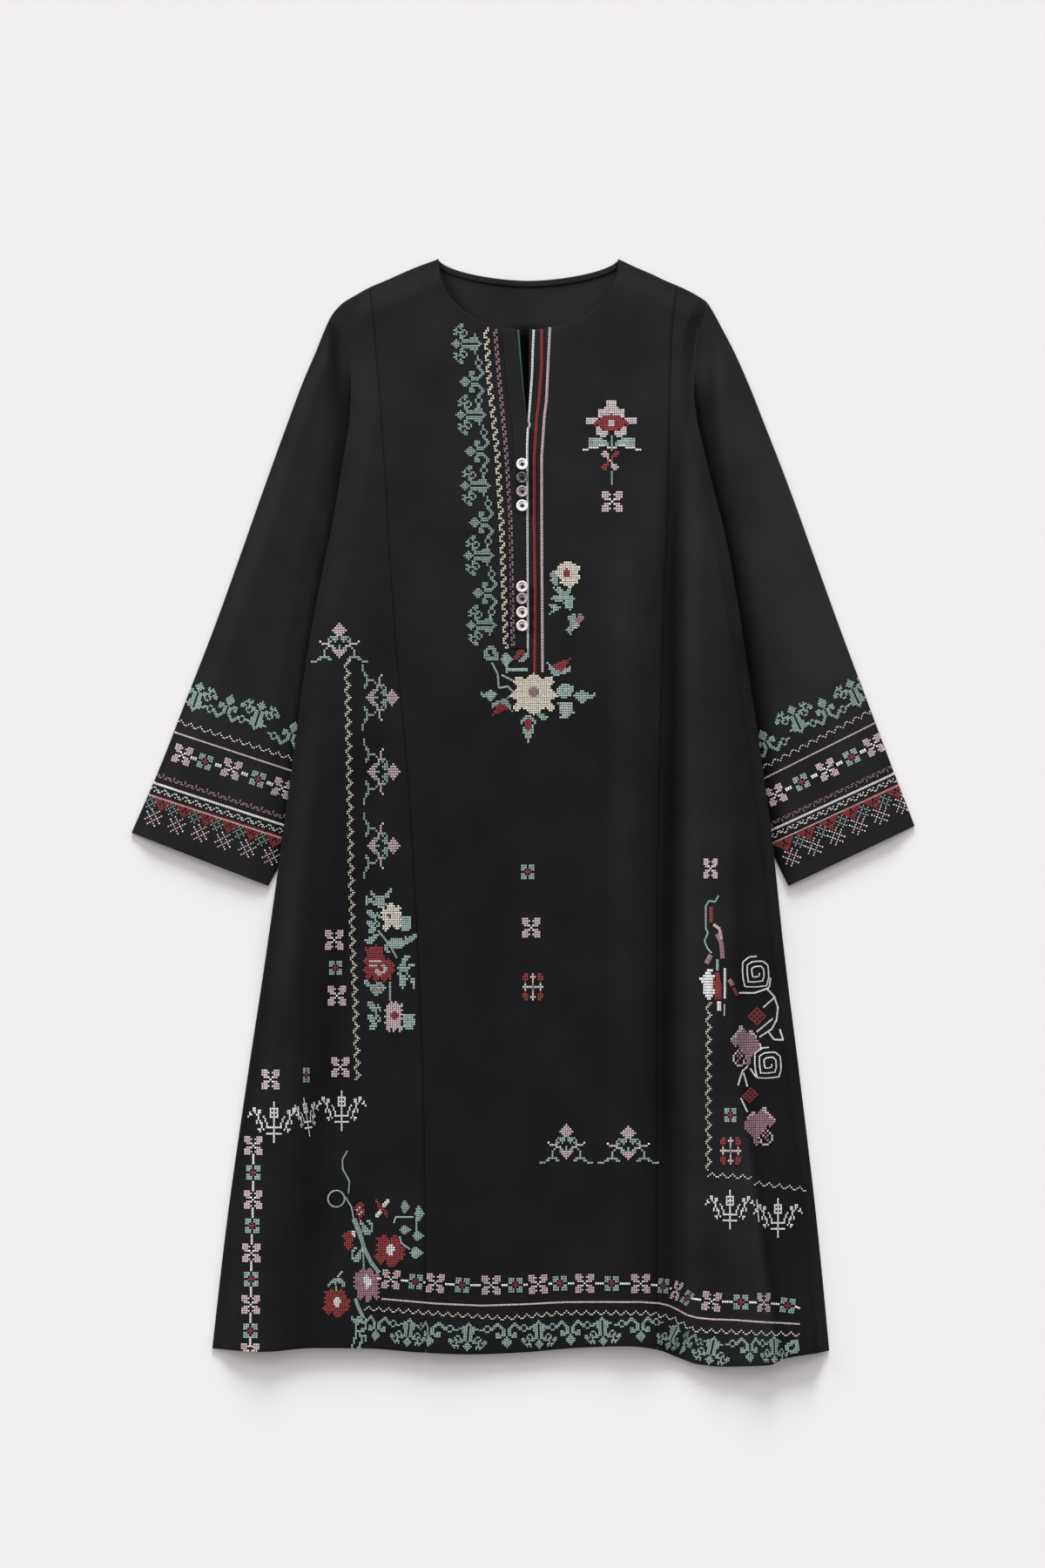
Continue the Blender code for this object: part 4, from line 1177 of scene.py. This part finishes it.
for name, across, wide, leftHalf in hemPalmettes:
    spot, slope = dropOn(hemLines["palmettes"], across)
    sew(name, spot, (wide, 2.0), slope, leftHalf=leftHalf)
sewLines(
    ("w", bar["wide"], bar["high"], (-156.4, 1053), (-151.9, 1053.5)),
    ("w", bar["wide"], bar["high"], (275.1, 1081.4), (280.1, 1083.6)),
    ("p", 2.1, 2.1, *hemLines["chain"]),
)
sewLines(("zigzag", 2.05, 1.8, *hemLines["zigzag"]), fine=0.84)

# Centre of the skirt

sewEach(
    ("rosette", -0.7, 633.6, 1.95, 2.2), ("cross", 2.9, 691.2, 2.1, 2.3),
    ("latticeRosette", 4.7, 752.4, 1.95, 2.6), ("lotus", 39.3, 914.4, 2.05, 2.3),
    ("lotus", 103.2, 915.3, 2.35, 2.2),
)

# Left skirt front

spirals = {
    "centres": ((235.6, 737.5), (248.4, 831.6)), "steps": 36, "halfTurns": 5.5, "start": 2.5, "growth": 13.4,
    "tall": 1.08, "squareness": 0.8,
}


def spiral(centre):  # flattened on its four sides
    line = []
    for step in range(spirals["steps"] + 1):
        angle = step / spirals["steps"] * spirals["halfTurns"] * math.pi
        reach = spirals["start"] + spirals["growth"] * step / spirals["steps"]
        corner = max(abs(math.cos(angle)), abs(math.sin(angle))) ** spirals["squareness"]
        line.append((centre[0] + reach * math.cos(angle) / corner,
                     centre[1] + spirals["tall"] * reach * math.sin(angle) / corner))
    return line


sewEach(
    ("cross", 188.1, 630, 1.6, 2.3), ("halfCrown", 186.5, 749.7, 2.0, 2.9),
    ("lattice", 236, 782.6, 2.0, 2.0, 45), ("lattice", 228.8, 864, 1.6, 1.9, 45),
    ("wingedFlower", 224.3, 813.1, 2.1, 2.5), ("wingedFlower", 237.8, 896, 2.3, 2.35, 0, True),
    ("rosette", 208.4, 884.3, 1.75, 2.1), ("latticeRosette", 208.7, 921.2, 1.95, 2.6),
    ("candelabra", 208.1, 981.9, 1.65, 2.05), ("candelabra", 257.6, 990.5, 1.65, 2.05),
)
sewLines(
    ("T", 1.9, 1.9, (196.4, 657.9), (192.8, 664.2), (186.5, 663.3), (183.3, 668.7), (183.3, 692.1),
     (185.6, 695.7), (182, 704.7), (184.7, 711.9), (189.2, 717.3)),
    ("r", 2.0, 4.2, (188.7, 669.6), (188.7, 685.8)),
    ("p", 2.0, 3.6, (191, 687.6), (197.3, 692.1), (199.1, 702.9)),
    ("m", 2.0, 5.4, (194.6, 697.5), (199.1, 706.5), (200.4, 722.7)),
    ("m", 2.0, 6.2, (188.3, 719.1), (183.8, 728.1)),
    ("T", 2.0, 3.2, (195, 723.6), (195, 735.3)),
    ("r", 2.0, 5.2, (194.6, 737.1), (197.3, 751.5), (197.3, 765)),
    ("w", 2.1, 3.0, (202.7, 732.6), (202.7, 764.1)), ("w", 2.0, 5.0, (196.8, 766.8), (196.8, 776.7)),
    ("c", 2.0, 1.5, (202.2, 769.5), (202.2, 782.1)), ("m", 2.0, 5.5, (207.2, 744.3), (210.8, 750.6)),
    ("r", 2.0, 3.4, (211.7, 752.4), (215.3, 761.4)), ("w", 2.1, 1.2, (235.5, 971.1), (237.8, 994.5)),
    *[("w", 2.1, 1.7, *spiral(centre)) for centre in spirals["centres"]],
    *[("w", 1.9, 2.1, *line) for line in (
        ((217.1, 758.3), (233.6, 758.3), (246.2, 753.9), (253.7, 762.1), (257.5, 773.5), (256.2, 786.1),
         (251.3, 795.6), (238.3, 804.1)),
        ((253.7, 763.2), (242.3, 773.5)), ((249.9, 742.5), (248.6, 751.5), (246.8, 754.2)),
        ((252.2, 784.8), (235.6, 798.7)), ((248, 798.7), (253.5, 806.4), (263, 806.9), (259.4, 795.6)),
        ((238.7, 810), (240.5, 817.2)), ((226.1, 834.3), (220.7, 838.8), (216.3, 853.7)),
        ((221.8, 840.6), (226, 855)), ((219.1, 866.7), (226, 881.1)), ((228.8, 836.1), (235.1, 845.1)),
    )],
)
sewLines(
    ("steepZigzag", 2.1, 1.8, (186.5, 767.7), (186.1, 857.7), (186.5, 942.3)),
    ("zigzag", 2.1, 1.8, (184.7, 945.9), (230.6, 948.1)), ("zigzag", 2.1, 1.8, (232.8, 954), (287.3, 961.2)),
    fine=0.84,
)

# Cuffs: the points of each row from the sleeve's outer edge to its inner one, on the right and on the left

cuffRows = {
    "zigzag": (((-364.3, 477), (-243.7, 516.6)), ((357, 466.2), (242.3, 526.1))),
    "chain": (((-369.2, 488.2), (-244.6, 529.2)), ((361.1, 478.4), (242.3, 537.8))),
    "peaks": (((-384.1, 532.8), (-251.8, 576.9)), ((377.3, 525.1), (248.6, 585.9))),
    "rail": (((-390.4, 540.5), (-252.7, 585.5)), ((379.5, 531.5), (247.7, 592.2))),
    "twist": (((-390.4, 546.8), (-253.6, 591.8)), ((382.2, 536.9), (249.5, 598.1))),
    "line": (((-394, 553.1), (-255.4, 599)), ((384.9, 543), (251.3, 604.4))),
    "cross": (
        ((-357.6, 512.6), (-306.7, 527.2), (-254.5, 547.2)), ((357.4, 502.7), (308.7, 527.9), (255.7, 554)),
    ),
    "rosette": (((-334.1, 519.8), (-279.7, 537.7)), ((333.9, 515), (282.1, 540.9))),
    "palmette": (((-342.7, 452.7), (-278.8, 472.1)), ((336.8, 449.1), (276.5, 476.1))),
    "scrolls": (((-310.3, 463.5), (-244.6, 491.4)), ((306.6, 466.2), (245.4, 499.5))),
    "triangle": (((-378.5, 564.3), (-262.5, 601.7)), ((380.3, 551.2), (265.6, 605.5))),
    "diamond": (((-391.3, 561.6), (-275.7, 600.3)), ((390.8, 549.9), (280.4, 602.1))),
    "crosslet": (((-387.7, 577.4), (-266.2, 617.4)), ((386.5, 564.3), (272.2, 618.3))),
}
cuffCells = {"palmette": (2.0, 2.1), "scrolls": (1.8, 2.1), "triangle": (2.0, 2.1), "diamond": (1.85, 1.85),
             "crosslet": (1.95, 1.95), "barWide": 2.1, "barHigh": 4.2, "halfBar": 3.6, "repeats": 6}
for which, side in enumerate(("right", "left")):
    rows = {name: spots[which] for name, spots in cuffRows.items()}
    # the turn of a band's charts, crowns towards the hand
    outer, inner = rows["rail"] if side == "right" else rows["rail"][::-1]
    slope = math.degrees(math.atan2(inner[1] - outer[1], inner[0] - outer[0]))
    for name, cell in (("zigzag", (2.1, 1.8)), ("peaks", (2.0, 1.9)), ("twist", (1.9, 1.9))):
        sewAlong(name, rows[name], cell, side, fine=0.84)
    for name, letter, *cell in (("chain", "p", 2.1, 2.1), ("rail", "w", 1.9, 2.9), ("line", "p", 1.9, 1.8)):
        sewAlong(letter, rows[name], cell, side)
    for name in ("cross", "rosette"):
        for spot in rows[name]:
            sew(name, spot, (2.15, 2.15), slope, onto=side)
    ways = sorted(rows["cross"] + rows["rosette"])
    for spot, beyond in zip(ways, ways[1:]):
        half = (Vector(beyond) - Vector(spot)).normalized() * cuffCells["halfBar"]
        midway = Vector(spot).lerp(Vector(beyond), 0.5)
        sewAlong("w", (midway - half, midway + half), (cuffCells["barWide"], cuffCells["barHigh"]), side)
    for name in ("palmette", "scrolls"):
        for spot in rows[name]:
            sew(name, spot, cuffCells[name], slope + 180, onto=side, fine=1.12)
    for name in ("triangle", "diamond", "crosslet"):
        first, last = map(Vector, rows[name])
        for number in range(cuffCells["repeats"]):
            spot = first.lerp(last, number / (cuffCells["repeats"] - 1))
            sew(name, spot, cuffCells[name], slope, onto=side, fine=0.9)
print("stitches counted out")


def stitchShape():
    # two fat threads crossing, in a cell of width and height 1; heights are in mm
    bm = bmesh.new()
    for turn, height in ((math.pi / 4, stitch["low"]), (-math.pi / 4, stitch["high"])):
        bar = bmesh.ops.create_uvsphere(bm, u_segments=5, v_segments=3, radius=1)["verts"]
        bmesh.ops.rotate(bm, verts=bar, matrix=Matrix.Rotation(math.pi / 2, 3, "Y"))
        bmesh.ops.scale(bm, verts=bar, vec=(stitch["bar"], stitch["wide"], stitch["thick"]))
        bmesh.ops.rotate(bm, verts=bar, matrix=Matrix.Rotation(turn, 3, "Z"))
        bmesh.ops.translate(bm, verts=bar, vec=(0, 0, height))
    bmesh.ops.recalc_face_normals(bm, faces=bm.faces)
    corners = numpy.array([vert.co for vert in bm.verts])
    faces = [[vert.index for vert in face.verts] for face in bm.faces]
    bm.free()
    return corners, faces
def threadMaterial(name, shade):
    material, tree, shader = newMaterial(name + "Thread", 0.6, 0.15)
    shades = [[min(1.0, strength * part) for part in shade] for strength in (0.78, 1.18)]
    uneven = cloud(tree, onObject(tree), 420)
    setInputs(tree, shader, {"Base Color": ramp(tree, uneven, (0.3, 0.7), shades)})
    return material


def surfaceOf(pieces):
    bm = bmesh.new()
    for piece in pieces:
        bm.from_mesh(piece.data)
    tree = BVHTree.FromBMesh(bm)
    bm.free()
    return tree


def clothUnder(tree, across, drop):  # a stitch on a rounded edge moves a little to the side
    for nudge in (0, 1.2, -1.2):
        hit, normal, _, _ = tree.ray_cast(toFrame(across + nudge, drop, 60), Vector((0, 0, -1)))
        if hit and normal.z > 0.5:
            return [(hit, normal)]
    return []


def sewThread(letter, cloths, onto):
    corners, faces = stitchShape()
    laid = []
    for cloth in cloths:
        for across, drop, *sides in stitches.get((letter, cloth), ()):
            laid += [(*hit, *normal, *sides) for hit, normal in clothUnder(surfaces[cloth], across, drop)]
    if not laid:
        return
    laid = numpy.array(laid)
    place, normal, along, down = laid[:, 0:3], laid[:, 3:6], laid[:, 6:8] * mm, laid[:, 8:10] * mm
    sides = []
    for plan in (along, -down):  # both sides of a cell follow the slope of the cloth
        plan = plan * (1, -1)
        slope = -(plan * normal[:, 0:2]).sum(axis=1) / normal[:, 2]
        sides.append(numpy.column_stack((plan, slope)))
    spots = place[:, None] + sides[0][:, None] * corners[:, 0, None] + sides[1][:, None] * corners[:, 1, None]
    spots += normal[:, None] * corners[:, 2, None] * mm
    mesh = bpy.data.meshes.new("stitches")
    count = len(corners)
    mesh.from_pydata(
        spots.reshape(-1, 3).tolist(), [],
        [[corner + number * count for corner in face] for number in range(len(laid)) for face in faces],
    )
    name = threadColours[letter][0]
    addPiece(f"{name}{onto}Stitches", mesh, threadMaterials[letter])
    print(name, onto, len(laid), "stitches")


surfaces = {
    "front": surfaceOf([frontCentre, frontSideRight, frontSideLeft, buttonBand]),
    "right": surfaceOf([rightSleeve]),
    "left": surfaceOf([leftSleeve]),
}
threadMaterials = {letter: threadMaterial(*colour) for letter, colour in threadColours.items()}
for letter in threadColours:
    sewThread(letter, ["front"], "Body")
    sewThread(letter, ["right", "left"], "Sleeve")
print("embroidery sewn")
# Floor, light and camera

floor = {"width": 9.0, "shade": (0.846, 0.842, 0.862), "roughness": 0.9}
# Azimuth (from +Y towards +X), elevation and spread of each sun in degrees, then its strength and tint. Each
# lamp lights the floor or the dress only.
suns = {
    "windowOnFloor": (4.0, 16.0, 17.0, 4.15),
    "windowLeftOnFloor": (-50.0, 18.0, 20.0, 0.8),
    "windowRightOnFloor": (52.0, 18.0, 20.0, 0.8),
    "upperWindowOnFloor": (4.0, 38.0, 36.0, 0.55),
    "skyOnFloor": (0.0, 90.0, 90.0, 0.93, (1.0, 0.93, 0.88)),
    "leftOnDress": (-62.0, 17.0, 28.0, 6.0),
    "rightOnDress": (70.0, 22.0, 50.0, 2.2),
}
sunDistance = 2.0
softBox = {"azimuth": 4.0, "elevation": 17.0, "distance": 2.6, "size": 1.3, "power": 62.0}
sky = {"shade": (0.97, 0.965, 0.97), "strength": 0.12}
camera = {
    "lens": 100.0, "sensor": 36.0, "far": 20,
    "seenHeight": 1.620, "centre": (-0.0007, 0.0293), "surface": 0.005,
}


def makeFloor():
    bm = bmesh.new()
    bmesh.ops.create_grid(bm, x_segments=1, y_segments=1, size=floor["width"] / 2)
    mesh = meshOf("floor", bm)
    piece = bpy.data.objects.new("floor", mesh)
    ground.objects.link(piece)
    material, tree, shader = newMaterial("paleFloor", floor["roughness"])
    setInputs(tree, shader, {"Base Color": (*floor["shade"], 1)})
    mesh.materials.append(material)


def placeLamp(data, azimuth, elevation, distance, lit):
    azimuth, elevation = math.radians(azimuth), math.radians(elevation)
    level = math.cos(elevation)
    towards = Vector((level * math.sin(azimuth), level * math.cos(azimuth), math.sin(elevation)))
    lamp = bpy.data.objects.new(data.name, data)
    bpy.context.scene.collection.objects.link(lamp)
    lamp.location = towards * distance
    lamp.rotation_euler = (-towards).to_track_quat("-Z", "Y").to_euler()
    lamp.light_linking.receiver_collection = lit


def makeSun(name, azimuth, elevation, spread, strength, tint=(1.0, 1.0, 1.0)):
    data = bpy.data.lights.new(name, "SUN")
    data.energy, data.angle, data.color = strength, math.radians(spread), tint
    placeLamp(data, azimuth, elevation, sunDistance, dress if name.endswith("Dress") else ground)


def makeSoftBox():
    data = bpy.data.lights.new("softBox", "AREA")
    data.energy, data.size = softBox["power"], softBox["size"]
    placeLamp(data, softBox["azimuth"], softBox["elevation"], softBox["distance"], dress)


def makeWorld():
    world = bpy.data.worlds.new("softLight")
    world.use_nodes = True
    background = world.node_tree.nodes["Background"]
    setInputs(world.node_tree, background, {"Color": (*sky["shade"], 1), "Strength": sky["strength"]})
    bpy.context.scene.world = world


def makeCamera():
    data = bpy.data.cameras.new("camera")
    data.sensor_fit = "VERTICAL"
    data.sensor_height = camera["sensor"]
    data.lens = camera["lens"]
    data.clip_end = camera["far"]
    distance = camera["seenHeight"] * camera["lens"] / camera["sensor"]
    viewer = bpy.data.objects.new("camera", data)
    bpy.context.scene.collection.objects.link(viewer)
    viewer.location = (*camera["centre"], camera["surface"] + distance)
    bpy.context.scene.camera = viewer


makeFloor()
makeWorld()
for name, sun in suns.items():
    makeSun(name, *sun)
makeSoftBox()
makeCamera()
bpy.context.scene.view_settings.view_transform = "Standard"
print("lit")
